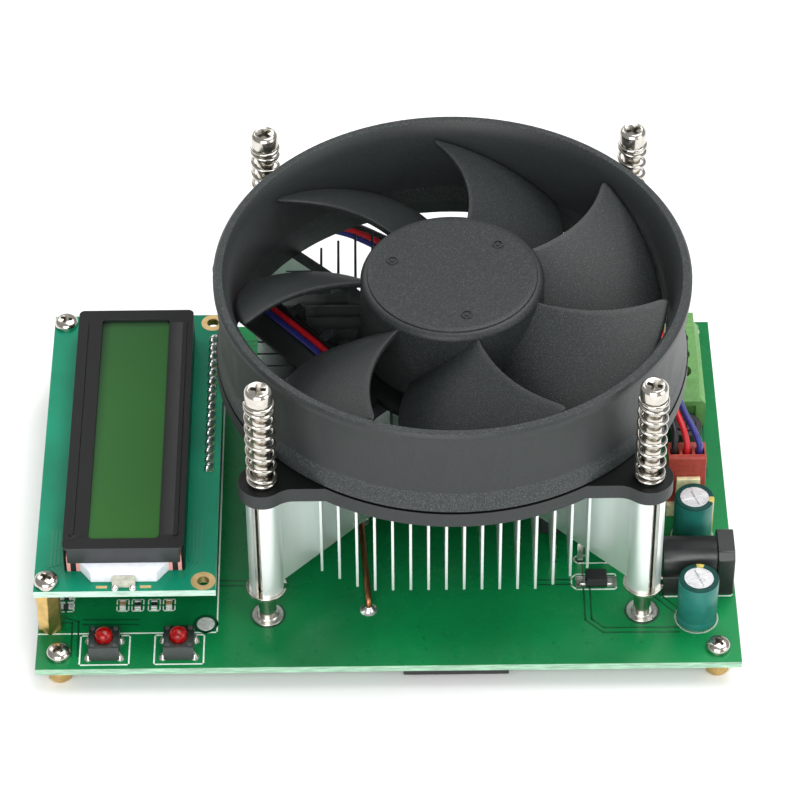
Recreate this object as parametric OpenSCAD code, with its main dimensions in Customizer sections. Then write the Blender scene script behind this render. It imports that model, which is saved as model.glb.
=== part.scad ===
// Open-board dc electronic load: a control board on brass feet, a character display on posts,
// and a fan-cooled extruded heat sink that four spring screws press onto the power transistors.
// Origin: on the table, under the middle of the board. X runs to the connector edge, Y to the back.

/* [Board] */
// Board width, left to right
board_w = 140; // [140:1:156]
// Board depth, front to back
board_d = 99; // [99:1:110]
// Board thickness
board_t = 1.6; // [1.2:0.2:2.4]
// Height of the brass feet
foot_h = 4.5; // [4.5:0.5:12]
// Distance from the board's side edges to the corner holes
hole_in_x = 4.5; // [3.5:0.5:5]
// Distance from the front and back edges to the corner holes
hole_in_y = 4; // [3.5:0.5:4.5]

/* [Display] */
// Display board width
lcd_w = 36; // [36:1:38]
// Display board length
lcd_l = 80; // [80:1:82]
// Height of the display board above the main board
lcd_gap = 11; // [9:0.5:14]
// Bezel width
bezel_w = 24; // [22:0.5:26]
// Bezel length
bezel_l = 69.2; // [68:0.2:71.2]
// Bezel height
bezel_h = 7; // [6.4:0.2:9]
// Window width
window_w = 14; // [12:0.5:16]
// Window length
window_l = 63.6; // [60:0.2:64.6]

/* [Cooler] */
// Side of the square that the four spring screws make
cooler_pitch = 75; // [74:0.5:77]
// Height of the extruded heat sink
sink_h = 26.3; // [20:0.1:40]
// Fin thickness
fin_t = 0.5; // [0.4:0.1:1]
// Distance between fins
fin_pitch = 3.53; // [3.3:0.01:3.6]
// Reach of the longest fins from the axis
fin_reach = 39.2; // [37:0.2:40.2]
// Thickness of the diagonal arms
arm_t = 2.6; // [2:0.2:4]

/* [Fan] */
// Fan height, flange underside to rim
fan_h = 24.2; // [24:0.1:30]
// Outer radius of the flange
ring_r = 47.3; // [46.8:0.1:47.4]
// Flange thickness
flange_t = 3.4; // [3:0.1:4]
// Number of blades
blades = 7; // [5:1:9]
// Radius of the rotor hub
hub_r = 18.2; // [18:0.1:19]
// Gap between the blade tips and the ring
tip_gap = 0.7; // [0.5:0.1:1.5]
// Angle that a blade covers at its tip
blade_span = 37; // [30:1:38]

/* [Screws and springs] */
// Spring screw shank diameter
shank_d = 3.6; // [3:0.1:3.8]
// Spring screw head diameter
head_d = 5.4; // [5:0.1:6.4]
// Outside diameter of the springs
spring_d = 6.1; // [5.8:0.1:6.6]
// Spring wire diameter
spring_wire = 0.8; // [0.5:0.05:0.9]
// Turns of each spring, with the two closed ends
spring_turns = 8.5; // [7:0.5:10]
// Shank diameter of the small pan-head screws
pan_d = 2.5; // [2:0.1:2.6]

/* [Connectors and buttons] */
// Capacitor diameter
cap_d = 8; // [6.3:0.1:8.2]
// Capacitor height
cap_h = 11.6; // [9:0.1:16]
// Bore of the barrel jack
jack_d = 6.3; // [5.8:0.1:6.6]
// Button diameter
button_d = 3.5; // [3:0.1:3.6]
// Button travel
button_travel = 0.25; // [0.15:0.05:0.3]
// Diameter of each fan wire over its insulation
wire_d = 1.3; // [1:0.1:1.4]

/* [Hidden] */
$fn = 64;
eps = 0.01;
fit = 0.05;
// board levels and edges
zb = foot_h;
zt = foot_h + board_t;
left = -board_w / 2;
right = board_w / 2;
front = -board_d / 2;
back = board_d / 2;
corner_x = board_w / 2 - hole_in_x;
corner_y = board_d / 2 - hole_in_y;
corners = [for (sx = [-1, 1], sy = [-1, 1]) [sx * corner_x, sy * corner_y]];
pan_head_d = 4.9;
pan_head_h = 1.9;
hex_af = 4.5;
foot_face_r = 2.05;
foot_thread_r = 1.05;
foot_screw_l = 1.8;
pin_pitch = 2.54;
pin_r = 0.4;
pin_hole_r = 0.5;
post_w = 0.64;
solder_h = 1.5;
// display board
lcd_t = 1.6;
lcd_x = left + lcd_w / 2;
lcd_y = -0.25;
lcd_z = zt + lcd_gap;
lcd_top = lcd_z + lcd_t;
lcd_holes = [for (sx = [-1, 1], sy = [-1, 1]) [lcd_x + sx * 15.5, lcd_y + sy * 37.5]];
post_xy = [lcd_holes[0], lcd_holes[1]];
lcd_pin_count = 16;
lcd_pin_x = lcd_x + 15.8;
lcd_pin_xy = [for (i = [0:lcd_pin_count - 1]) [lcd_pin_x, lcd_y + 32 - i * pin_pitch]];
bezel_y = lcd_y - 0.45;
bezel_t = 0.6;
strip_w = 2.6;
strip_h = bezel_h - 2.8;
glass_h = bezel_h - bezel_t - strip_h;
inner_w = bezel_w - 2 * bezel_t;
inner_l = bezel_l - 2 * bezel_t;
guide_w = inner_w - 2 * strip_w;
guide_out = 3.1;
// cooler and transistors
axis_x = 13.4;
axis_y = 2;
half_pitch = cooler_pitch / 2;
post_r = 3.4;
tube_bore_r = shank_d / 2 + 0.4;
tube_slit = 1.6;
slit_turn = 65;
lead_lift = 3.4;
power_t = 5;
power_w = 15.9;
power_l = 21;
power_pitch = 5.45;
tab_t = 2;
pad_t = 0.3;
sink_z = zt + lead_lift + power_t + pad_t;
fin_count = 16;
core_r = 14;
// offset of the right-hand transistor from the cooler axis; the other one is turned half way round
power_at = [25.7, -8.5];
lead_out = 4.6;
// fan, heights above the flange underside
fan_z = sink_z + sink_h;
ear_r = 4.65;
ear_half = 40;
ear_fillet = 5;
bore_r = ring_r - 3.7;
mouth_r = ring_r - 1.9;
base_r = 19.9;
base_h = 1.6;
strut_h = 1.7;
strut_w = 4.6;
wing_w = 3.9;
wing_edge = 0.6;
strut_x = 19.25;
strut_turn = 220.5;
shoulder_h = 3.2;
hub_bottom = 5;
hub_top = 23;
core_z = 8.5;
core_h = 6;
pole_w = 5;
shaft_r = 1.5;
sleeve_r = 3.5;
magnet_r = 16.6;
magnet_in = 14.6;
// spring screws
head_h = 3.1;
head_bevel = 0.6;
spring_top = fan_z + fan_h + 0.7;
spring_z = fan_z + flange_t;
clip_t = 0.6;
clip_r = 4.05;
plate_t = 2;
bushing_r = 2.3;
// connectors on the right-hand edge
term_pitch = 5.08;
term_h = 10.4;
term_x = right - 7.7;
term_y = back - 26.2;
term_floor = 1;
cage_h = 5.2;
term_screw_d = 2.5;
header_x = right - 8.8;
header_y = -5.6;
header_h = 3.2;
plug_z = zt + header_h;
plug_h = 12.3;
plug_w = 7.7;
trimmer_xy = [right - 7.5, term_y - 10.1];
trimmer_r = 3.5;
trimmer_h = 4.6;
jack_y = -26.7;
jack_z = zt + 6.5;
jack_flange = 3.4;
jack_back = right - 14.8;
jack_face = right - 0.5;
cap_wall = 0.15;
cap_xy = [[right - 7.7, -14.9], [right - 8.3, -37.4]];
// push switches
switch_xy = [[left + 13.6, front + 5.2], [left + 28.4, front + 5.2]];
switch_w = 6;
switch_h = 3.3;
cover_t = 0.3;
switch_post = 2.25;
leg_x = 3.15;
button_top = 5.2;
button_flange_z = 2.45;
// shunt wire
shunt_r = 0.65;
shunt_xy = [[-3.9, -34.3], [-5.5, -9.5]];
// share of the way between the ends, and height above the board
shunt_route = [[0, -1.6], [0, 1.3], [0.02, 2.1], [0.07, 2.6], [0.3, 2.8], [0.7, 2.8], [0.93, 2.6],
    [0.98, 2.1], [1, 1.3], [1, -1.6]];
// fan lead: middle wire's route from the motor to the plug, and the side on which the third wire lies
lead_route = [[4.2, -1, 37.5], [-1, -2, 37.5], [-6, -2.2, 37.5], [-10.2, -0.2, 37.5], [-15, 5.6, 37.5],
    [-24, 16.1, 37.5], [-29, 22, 37.5], [-33, 26.7, 36.8], [-32.5, 34, 34.2], [-31, 41.5, 33.4],
    [-25, 46.2, 33], [-9, 46, 31.5], [1.5, 46, 26], [14, 46, 21.5], [32, 46, 20], [48, 46, 20],
    [56.5, 43.2, 21], [58, 34, 23], [57.5, 25, 24], [57, 17, 23.5], [57.6, 8, 21.5], [59.2, 1, 20.3],
    [60.4, -3, 19.2], [61.1, -5.2, 17.2], [61.2, -5.6, 14.4], [61.2, -5.6, 11.2]];
lead_sides = [[0.3, -1.45, 0], [0.2, -1.45, 0], [-0.3, -1.45, 0], [-1, -1.1, 0], [-1.1, -0.95, 0],
    [-1.1, -0.95, 0], [-1.1, -0.95, 0], [-1.6, -0.4, 0], [-1.5, 0.2, 0], [-1.2, 0.8, -0.5],
    [-0.5, 0.95, -1.05], [-0.5, 0.2, -1.4], [-0.65, 0, -1.35], [-0.3, 0, -1.45], [0, 0, -1.5],
    [0.3, 0.3, -1.45], [1.15, 0.75, -0.85], [1.4, 0.2, -0.4], [1.5, 0, 0], [1.5, 0, 0], [1.5, 0.2, 0],
    [1.4, 0.7, 0], [1.8, 0.8, 0], [2.5, 0.1, 0], [2.54, 0, 0], [2.54, 0, 0]];
// through-hole pins, by part
term_xy = [for (i = [0:3]) [term_x, term_y + i * term_pitch]];
header_xy = [for (i = [-1:1]) [header_x + i * pin_pitch, header_y]];
jack_xy = [[right - 12, jack_y], [right - 7.5, jack_y], [right - 9.5, jack_y + 3.4]];
cap_pin_xy = [for (c = cap_xy, s = [-1, 1]) [c[0] + s * 1.75, c[1]]];
trimmer_pin_xy = [for (a = [90, 210, 330]) trimmer_xy + 2.5 * [cos(a), sin(a)]];
round_pin_xy = concat(term_xy, jack_xy, cap_pin_xy, trimmer_pin_xy);
leg_xy = [for (c = switch_xy, sx = [-1, 1], sy = [-1, 1]) c + [sx * leg_x, sy * switch_post]];
lead_xy = [for (h = [0, 1], i = [-1:1])
    half_turn(h, power_at + [i * power_pitch, -power_l / 2 - lead_out + 0.3])];

// A point given from the cooler axis, turned half way round it when h is 1
function half_turn(h, p) = [axis_x, axis_y] + (h == 1 ? -p : p);
function unit(v) = v / norm(v);
// Directions along a path, and a side vector carried along it without twist
function headings(p) = [for (i = [0:len(p) - 1]) unit(p[min(i + 1, len(p) - 1)] - p[max(i - 1, 0)])];
function carry(t, i, v) = i == len(t) ? []
    : let (w = unit(v - (v * t[i]) * t[i])) concat([w], carry(t, i + 1, w));

// A round rod of radius r with n flats along a path
module rod(path, r, n, side = [0.31, 0.17, 0.93]) {
    t = headings(path);
    s = carry(t, 0, side);
    m = len(path);
    points = [for (i = [0:m - 1], k = [0:n - 1])
        path[i] + r * (cos(k * 360 / n) * s[i] + sin(k * 360 / n) * cross(t[i], s[i]))];
    skin = [for (i = [0:m - 2], k = [0:n - 1]) let (a = i * n + k, b = i * n + (k + 1) % n)
        each [[a, a + n, b], [b, a + n, b + n]]];
    start = [for (k = [0:n - 1]) k];
    end = [for (k = [0:n - 1]) m * n - 1 - k];
    polyhedron(points, concat([start], skin, [end]));
}

// A rectangle with round corners, centred
module round_rect(w, l, r) {
    square([w - 2 * r, l], center = true);
    square([w, l - 2 * r], center = true);
    for (x = [-1, 1], y = [-1, 1])
        translate([x * (w / 2 - r), y * (l / 2 - r)]) circle(r);
}

module block(w, l, h) {
    translate([-w / 2, -l / 2, 0]) cube([w, l, h]);
}

module at(places, z = 0) {
    for (p = places)
        translate([p[0], p[1], z]) children();
}

module on_axis(z = 0) {
    translate([axis_x, axis_y, z]) children();
}

// The four spring screws
module at_screws(z = 0) {
    for (x = [-half_pitch, half_pitch], y = [-half_pitch, half_pitch])
        translate([axis_x + x, axis_y + y, z]) children();
}

module cross_cut(w, l, h) {
    for (a = [0, 90])
        rotate(a) block(l, w, h);
}

// Pan-head screw with its head seated at z = 0 and its shank below
module pan_screw(l) {
    dome = pan_head_h * 2.2;
    difference() {
        intersection() {
            cylinder(d = pan_head_d, h = pan_head_h);
            translate([0, 0, pan_head_h - dome]) sphere(dome);
        }
        translate([0, 0, pan_head_h - 0.9]) cross_cut(0.7, 2.7, 1);
    }
    translate([0, 0, -l]) cylinder(d = pan_d, h = l);
}

module main_board() {
    color("seagreen") translate([0, 0, zb]) difference() {
        block(board_w, board_d, board_t);
        translate([0, 0, -1]) {
            at(concat(corners, lcd_holes)) cylinder(d = pan_d + 2 * fit, h = 5);
            at_screws() cylinder(r = bushing_r + fit, h = 5);
            at(concat(lcd_pin_xy, round_pin_xy, header_xy, leg_xy)) cylinder(r = pin_hole_r, h = 5);
            at(lead_xy) cylinder(r = 0.8, h = 5);
            at(shunt_xy) cylinder(r = shunt_r + fit, h = 5);
        }
    }
}

// Feet bored in two steps: the corner screw above, a thread for a screw from below
module board_feet() {
    color("goldenrod") at(corners) difference() {
        intersection() {
            rotate(30) cylinder(d = hex_af / cos(30), h = foot_h, $fn = 6);
            cylinder(r1 = foot_face_r, r2 = foot_face_r + foot_h, h = foot_h);
        }
        translate([0, 0, -1]) cylinder(r = foot_thread_r, h = foot_h + 2);
        translate([0, 0, foot_h - foot_screw_l - 0.2]) cylinder(d = pan_d + 2 * fit, h = foot_h);
    }
}

module pan_screws() {
    color("silver") {
        at(corners, zt) pan_screw(board_t + foot_screw_l);
        at(post_xy, lcd_top) pan_screw(lcd_t + 4);
        at(post_xy, zb) mirror([0, 0, 1]) pan_screw(board_t + 4);
    }
}

module lcd_posts() {
    color("goldenrod") at(post_xy, zt) difference() {
        rotate(30) cylinder(d = hex_af / cos(30), h = lcd_gap, $fn = 6);
        translate([0, 0, -1]) cylinder(d = pan_d + 2 * fit, h = lcd_gap + 2);
    }
}

module lcd_board() {
    color("mediumseagreen") difference() {
        translate([lcd_x, lcd_y, lcd_z]) block(lcd_w, lcd_l, lcd_t);
        at(lcd_holes, lcd_z - 1) cylinder(d = pan_d + 2 * fit, h = 4);
        at(lcd_pin_xy, lcd_z - 1) cylinder(r = pin_hole_r, h = 4);
    }
}

module in_bezel(z) {
    translate([lcd_x - 0.15, bezel_y, lcd_top + z]) children();
}

// Folded cover: window, two stiffening ridges, an open lower front end
module lcd_bezel() {
    skirt_h = 4.1;
    ridge_l = bezel_l - 7;
    color("dimgray") in_bezel(0) {
        difference() {
            linear_extrude(bezel_h) round_rect(bezel_w, bezel_l, 1.2);
            translate([0, 0, -1]) block(inner_w, inner_l, bezel_h - bezel_t + 1);
            linear_extrude(bezel_h + 1) round_rect(window_w, window_l, 1);
            translate([0, -bezel_l / 2, -1]) block(inner_w, 4 * bezel_t, bezel_h - skirt_h + 1);
            for (x = [-1, 1])
                translate([x * inner_w / 2, -bezel_l / 2, -1]) block(0.5, 4 * bezel_t, bezel_h - bezel_t + 1);
        }
        for (x = [-1, 1])
            translate([x * (bezel_w / 2 - 1.7), 0, bezel_h])
                linear_extrude(0.35) round_rect(0.9, ridge_l, 0.44);
    }
}

module lcd_glass() {
    color("olivedrab") in_bezel(strip_h) block(inner_w - 0.4, inner_l - 0.4, glass_h);
}

// Light guide with the tapered nose that carries the lamp
module lcd_guide() {
    nose = 13;
    color("white") in_bezel(0) {
        block(guide_w, inner_l, strip_h);
        linear_extrude(strip_h - 1.4) polygon([[-guide_w / 2, 1 - inner_l / 2], [-guide_w / 2, -inner_l / 2],
            [-nose / 2, -inner_l / 2 - guide_out], [nose / 2, -inner_l / 2 - guide_out],
            [guide_w / 2, -inner_l / 2], [guide_w / 2, 1 - inner_l / 2]]);
    }
}

module lcd_strips() {
    color("pink") in_bezel(0) for (x = [-1, 1])
        translate([x * (inner_w - strip_w) / 2, 0, 0]) block(strip_w, inner_l, strip_h);
}

module lcd_lamp() {
    lamp_l = 1.6;
    color("darkkhaki") in_bezel(0)
        translate([0, -inner_l / 2 - guide_out - lamp_l / 2, 0]) block(4.6, lamp_l, 2);
}

// Socket on the main board and pin strip under the display board
module lcd_header() {
    l = lcd_pin_count * pin_pitch;
    socket_h = lcd_gap - pin_pitch;
    mid_y = lcd_pin_xy[0][1] - (lcd_pin_count - 1) * pin_pitch / 2;
    color("black") difference() {
        translate([lcd_pin_x, mid_y, zt]) {
            block(pin_pitch, l, lcd_gap);
            block(pin_pitch + 0.4, l, socket_h);
        }
        at(lcd_pin_xy, zt - 1) block(post_w, post_w, lcd_gap + 2);
    }
}

module lcd_pins() {
    color("silver") at(lcd_pin_xy, zb) block(post_w, post_w, board_t + lcd_gap + lcd_t);
}

function fin_end(o) = fin_reach - max(0, (abs(o) - 5 * fin_pitch) * 0.62);

// Extrusion outline: core, diagonal arms, slit screw tubes, parallel fins in each quarter
module sink_outline() {
    reach = half_pitch * sqrt(2);
    difference() {
        union() {
            circle(core_r);
            for (a = [45, 135])
                rotate(a) square([2 * reach, arm_t], center = true);
            for (x = [-half_pitch, half_pitch], y = [-half_pitch, half_pitch])
                translate([x, y]) circle(post_r);
            for (a = [0:90:270], i = [0:fin_count - 1])
                let (o = (i - (fin_count - 1) / 2) * fin_pitch)
                    rotate(a) translate([o - fin_t / 2, -fin_end(o)]) square([fin_t, fin_end(o) - abs(o)]);
        }
        for (x = [-1, 1], y = [-1, 1])
            scale([x, y]) translate([half_pitch, half_pitch]) {
                circle(tube_bore_r);
                rotate(slit_turn) translate([0, -tube_slit / 2]) square([post_r + 1, tube_slit]);
            }
    }
}

module heat_sink() {
    color("lightgray") on_axis(sink_z) linear_extrude(sink_h) sink_outline();
}

// A power transistor's own frame: middle of the body, leads towards -Y
module at_transistors(z) {
    for (h = [0, 1])
        translate(concat(half_turn(h, power_at), z)) rotate(180 * h) children();
}

module thermal_pads() {
    color("gray") at_transistors(sink_z - pad_t) block(power_w + 1, power_l + 1, pad_t);
}

module tab_shape(h) {
    translate([0, 2, 0]) block(13.4, power_l - 6, h);
}

module transistors() {
    color("black") at_transistors(zt + lead_lift) difference() {
        block(power_w, power_l, power_t);
        translate([0, 0, power_t - tab_t]) tab_shape(tab_t + 1);
        translate([0, power_l / 2 - 4.2, -1]) cylinder(d = 3.6, h = power_t);
    }
}

module transistor_tabs() {
    color("peru") at_transistors(zt + lead_lift + power_t - tab_t) tab_shape(tab_t);
}

module transistor_leads() {
    lead_w = 1.2;
    lead_t = 0.6;
    color("silver") at_transistors(zt) for (i = [-1:1])
        translate([i * power_pitch, -power_l / 2 - lead_out, 0]) {
            translate([-lead_w / 2, 0, lead_lift + 1.2]) cube([lead_w, lead_out, lead_t]);
            translate([-lead_w / 2, 0, -board_t]) cube([lead_w, lead_t, board_t + lead_lift + 1.2 + lead_t]);
        }
}

module shunt_wire() {
    run = shunt_xy[1] - shunt_xy[0];
    path = [for (p = shunt_route) concat(shunt_xy[0] + p[0] * run, zt + p[1])];
    color("sienna") rod(path, shunt_r, 10, [1, 0, 0]);
}

// Cones on the display board, under the main board and round the shunt's ends
module solder_joints() {
    color("gainsboro") {
        at(lcd_pin_xy, lcd_top) cylinder(r1 = 0.95, r2 = 0.4, h = solder_h);
        at(concat(lcd_pin_xy, round_pin_xy, header_xy, leg_xy, lead_xy), zb - solder_h)
            cylinder(r1 = 0.45, r2 = 1.05, h = solder_h);
        at(shunt_xy, zb - solder_h) cylinder(r1 = 0.9, r2 = 1.8, h = solder_h);
        at(shunt_xy, zt) difference() {
            cylinder(r1 = 1.8, r2 = 0.95, h = 1.2);
            translate([0, 0, -1]) cylinder(r = shunt_r + fit, h = 4);
        }
    }
}

module through_pins() {
    color("silver") at(round_pin_xy, zb) cylinder(r = pin_r, h = board_t);
}

// Fan flange outline: disc, square, four round ears and the fillets beside them
module flange_outline() {
    rise = ear_half + ear_fillet - half_pitch;
    run = sqrt(pow(ear_fillet + ear_r, 2) - rise * rise);
    k = ear_r / (ear_fillet + ear_r);
    circle(ring_r);
    square(2 * ear_half, center = true);
    for (a = [0:90:270], m = [0, 1])
        rotate(a) mirror([m, 0]) translate([half_pitch, -half_pitch]) {
            circle(ear_r);
            difference() {
                polygon([[0, 0], [-run, half_pitch - ear_half], [-k * run, -k * rise]]);
                translate([-run, -rise]) circle(ear_fillet);
            }
        }
}

// Half section of the fan ring: outlet flare, bore, bell mouth, rim lip, wall and foot bevel
module ring_section() {
    polygon([[bore_r + 1, 0], [bore_r, 5], [bore_r, fan_h - 6], [bore_r + 0.4, fan_h - 3],
        [bore_r + 1, fan_h - 1], [mouth_r, fan_h], [ring_r - 0.6, fan_h], [ring_r - 0.1, fan_h - 0.6],
        [ring_r - 0.1, fan_h - 1.9],
        [ring_r - 0.5, fan_h - 2.1], [ring_r - 1.1, flange_t + 4.6], [ring_r - 0.2, flange_t + 0.4],
        [ring_r - 1, flange_t + 0.2], [ring_r - 1, 0]]);
}

module strut_frame(i) {
    rotate(strut_turn + 90 * i) translate([strut_x, 0, 0]) children();
}

// Frame: ring, flange, motor base on four tangent struts, and the tube that holds the bearing.
// The first strut has a sloping wing and two hooks for the fan lead.
module fan_frame() {
    tube_top = 15;
    hook_t = 1.7;
    hook_w = 2;
    hook_h = 4;
    hook_reach = 3.2;
    color("darkslategray") on_axis(fan_z) difference() {
        union() {
            rotate_extrude($fn = 96) ring_section();
            linear_extrude(flange_t) difference() {
                flange_outline();
                circle(bore_r + 1);
            }
            cylinder(r = base_r, h = base_h);
            intersection() {
                translate([0, 0, -1]) cylinder(r = ring_r - 1.1, h = fan_h);
                union() {
                    for (i = [0:3])
                        strut_frame(i) translate([-strut_w / 2, -ring_r, 0]) cube([strut_w, ring_r, strut_h]);
                    strut_frame(0) rotate([90, 0, 0]) linear_extrude(ring_r) polygon([[0, 0],
                        [strut_w / 2 + wing_w, 0], [strut_w / 2 + wing_w, wing_edge], [strut_w / 2, strut_h],
                        [0, strut_h]]);
                }
            }
            for (y = [-19.5, -29.5])
                strut_frame(0) translate([-strut_w / 2 - hook_t, y, 0]) {
                    cube([hook_t + 0.1, hook_w, hook_h]);
                    translate([0, 0, hook_h - 0.7]) cube([hook_reach, hook_w, 0.7]);
                }
            cylinder(r = sleeve_r + 4, h = shoulder_h);
            cylinder(r = sleeve_r + 2.6, h = core_z);
            cylinder(r = sleeve_r + 1.4, h = tube_top);
        }
        translate([0, 0, base_h]) cylinder(r = sleeve_r + eps, h = tube_top);
        for (x = [-half_pitch, half_pitch], y = [-half_pitch, half_pitch])
            translate([x, y, 0]) {
                translate([0, 0, -1]) cylinder(d = shank_d + 1.2, h = flange_t + 2);
                // room for the spring beside the ring
                translate([0, 0, flange_t]) cylinder(d = spring_d + 1, h = fan_h);
            }
        // opening in the ring for the wires
        strut_frame(0) translate([-strut_w / 2, -ring_r - 3, strut_h]) cube([strut_w + 0.8, 18, 2.4]);
    }
}

module pole_outline(arm_w, arm_out, shoe_out) {
    difference() {
        union() {
            circle(arm_out - 4.5);
            for (a = [0, 90])
                rotate(a) square([2 * arm_out, arm_w], center = true);
            difference() {
                circle(shoe_out);
                circle(arm_out - 0.6);
                for (a = [45, 135])
                    rotate(a) square([3 * shoe_out, 3], center = true);
            }
        }
        circle(sleeve_r + 1.4 + eps);
    }
}

module stator_core() {
    color("slategray") on_axis(fan_z + core_z) linear_extrude(core_h) pole_outline(pole_w, 12.4, 14);
}

module stator_coils() {
    turn = 1.3;
    coil_l = 2.8;
    color("orangered") on_axis(fan_z + core_z) for (a = [0:90:270])
        rotate(a) translate([9.7, 0, 0]) difference() {
            translate([0, 0, -turn]) block(coil_l, pole_w + 2 * turn, core_h + 2 * turn);
            block(coil_l + 1, pole_w, core_h);
        }
}

module fan_bearing() {
    color("darkgoldenrod") on_axis(fan_z + base_h) difference() {
        cylinder(r = sleeve_r, h = 13);
        translate([0, 0, 1.5]) cylinder(r = shaft_r + 0.03, h = 13);
    }
}

module motor_board() {
    color("darkgreen") on_axis(fan_z + shoulder_h) difference() {
        cylinder(r = 13.6, h = 1);
        translate([0, 0, -1]) cylinder(r = sleeve_r + 2.6 + fit, h = 3);
    }
}

// Blade surface: u runs from hub to tip, v from the upper edge to the lower edge
function blade_angle(u, v) = -15.5 * (1 - pow(max(u, 0), 1.7)) - v * (45 + (blade_span - 45) * u);
function blade_height(u, v) = 20.9 + 0.5 * u - v * (13.7 - 0.7 * u) + 3.2 * v * (1 - v);
function blade_trim(u, v) = u > 0.97 ? 0.05 + 0.9 * v : v;
function blade_point(u, v, side) = let (r = hub_r + u * (bore_r - tip_gap - hub_r), w = blade_trim(u, v),
    a = blade_angle(u, w)) [r * cos(a), r * sin(a), blade_height(u, w) + side * (0.85 - 0.35 * u)];

// Swept blade as one closed skin of two curved faces and the edges between them
module blade() {
    rows = [-0.03, 0.1, 0.25, 0.4, 0.55, 0.7, 0.85, 0.94, 1];
    n = 8;
    m = len(rows);
    points = [for (side = [1, -1], u = rows, j = [0:n]) blade_point(u, j / n, side)];
    w = n + 1;
    low = m * w;
    upper = [for (i = [0:m - 2], j = [0:n - 1]) let (a = i * w + j)
        each [[a, a + w, a + 1], [a + 1, a + w, a + w + 1]]];
    lower = [for (f = upper) [f[0] + low, f[2] + low, f[1] + low]];
    rim = concat([for (j = [0:n]) j], [for (i = [1:m - 1]) i * w + n], [for (j = [1:n]) m * w - 1 - j],
        [for (i = [1:m - 2]) (m - 1 - i) * w]);
    edge = [for (k = [0:len(rim) - 1]) let (a = rim[k], b = rim[(k + 1) % len(rim)])
        each [[a, b, a + low], [b, b + low, a + low]]];
    polyhedron(points, concat(upper, lower, edge));
}

module fan_rotor() {
    first = 95.3;
    color("darkslategray") on_axis(fan_z) {
        difference() {
            rotate_extrude($fn = 96) polygon([[0, hub_top], [hub_r - 1.4, hub_top],
                [hub_r - 1.4, hub_top - 0.45], [hub_r - 1, hub_top - 0.45], [hub_r, hub_top - 1.5],
                [hub_r, hub_bottom], [magnet_r, hub_bottom], [magnet_r, hub_top - 2.4],
                [sleeve_r + 0.5, hub_top - 2.4], [sleeve_r + 0.5, hub_top - 5.5], [0, hub_top - 5.5]]);
            translate([0, 0, hub_top - 6]) cylinder(r = shaft_r, h = 4.6);
            for (a = [42, 162, 282])
                rotate(a) translate([12.4, 0, hub_top - 0.3]) difference() {
                    cylinder(r = 1, h = 1);
                    cylinder(r = 0.6, h = 1);
                }
        }
        difference() {
            for (i = [0:blades - 1])
                rotate(first - i * 360 / blades) blade();
            translate([0, 0, hub_bottom - 1]) cylinder(r = hub_r - 0.3, h = hub_top);
        }
    }
}

module rotor_magnet() {
    color("dimgray") on_axis(fan_z + hub_bottom + 2) difference() {
        cylinder(r = magnet_r, h = hub_top - hub_bottom - 4.4);
        translate([0, 0, -1]) cylinder(r = magnet_in, h = hub_top);
    }
}

module rotor_shaft() {
    start = base_h + 1.55;
    color("lightsteelblue") on_axis(fan_z + start) cylinder(r = shaft_r, h = hub_top - 1.4 - start);
}

module spring_screws() {
    color("gainsboro") at_screws() {
        difference() {
            translate([0, 0, spring_top]) {
                cylinder(d = head_d, h = head_h - head_bevel);
                translate([0, 0, head_h - head_bevel])
                    cylinder(d1 = head_d, d2 = head_d - 2 * head_bevel, h = head_bevel);
            }
            translate([0, 0, spring_top + head_h - 1.6]) cross_cut(0.9, 3.4, 2);
        }
        translate([0, 0, zb - plate_t + 0.4]) cylinder(d = shank_d, h = spring_top - zb + plate_t - 0.4);
    }
}

// Height of the left-hand helix: a closed turn at each end, an even pitch between
function helix(t) = let (open = spring_top - spring_z - 3 * spring_wire - 0.04)
    t < 1 ? t * spring_wire : t > spring_turns - 1 ? open + spring_wire * (2 - spring_turns + t)
        : spring_wire + (t - 1) * open / (spring_turns - 2);

module springs() {
    steps = 12;
    r = (spring_d - spring_wire) / 2;
    path = [for (i = [0:spring_turns * steps]) let (t = i / steps)
        [r * cos(360 * t), -r * sin(360 * t), 0.02 + spring_wire / 2 + helix(t)]];
    color("gainsboro") at_screws(spring_z) rod(path, spring_wire / 2, 6, [1, 0, 0]);
}

module screw_clips() {
    color("silver") at_screws(sink_z - clip_t) difference() {
        cylinder(r = clip_r, h = clip_t);
        translate([0, 0, -1]) cylinder(d = shank_d + 2 * fit, h = 3);
        translate([0, -0.8, -1]) cube([clip_r + 1, 1.6, 3]);
    }
}

module bushings() {
    rim_t = 0.4;
    color("silver") at_screws(zb - plate_t) difference() {
        union() {
            cylinder(r = bushing_r, h = plate_t + board_t + rim_t);
            translate([0, 0, plate_t + board_t]) cylinder(r = bushing_r + 0.9, h = rim_t);
        }
        translate([0, 0, -1]) cylinder(d = shank_d + 2 * fit, h = 10);
    }
}

// Plate under the board: two side bars, a cross bar and a front tongue
module back_plate() {
    bar = 9;
    tongue = 21;
    tongue_end = axis_y - front - 0.7;
    color("black") on_axis(zb - plate_t) difference() {
        linear_extrude(plate_t) {
            for (x = [-half_pitch, half_pitch])
                translate([x, 0]) round_rect(bar, cooler_pitch + bar, 4);
            square([cooler_pitch, 12], center = true);
            translate([-tongue / 2, -tongue_end]) square([tongue, tongue_end]);
        }
        for (x = [-half_pitch, half_pitch], y = [-half_pitch, half_pitch])
            translate([x, y, -1]) cylinder(r = bushing_r + fit, h = 4);
    }
}

// One wire of the fan lead; k is -1, 0 or 1 across the lead
module fan_wire(k) {
    rod([for (i = [0:len(lead_route) - 1]) lead_point(i, k)], wire_d / 2, 8);
}

function lead_point(i, k) = lead_route[i] + [0, 0, zt] + k * lead_sides[i];

module fan_wire_black() {
    color("black") fan_wire(-1);
}

module fan_wire_red() {
    color("red") fan_wire(0);
}

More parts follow.
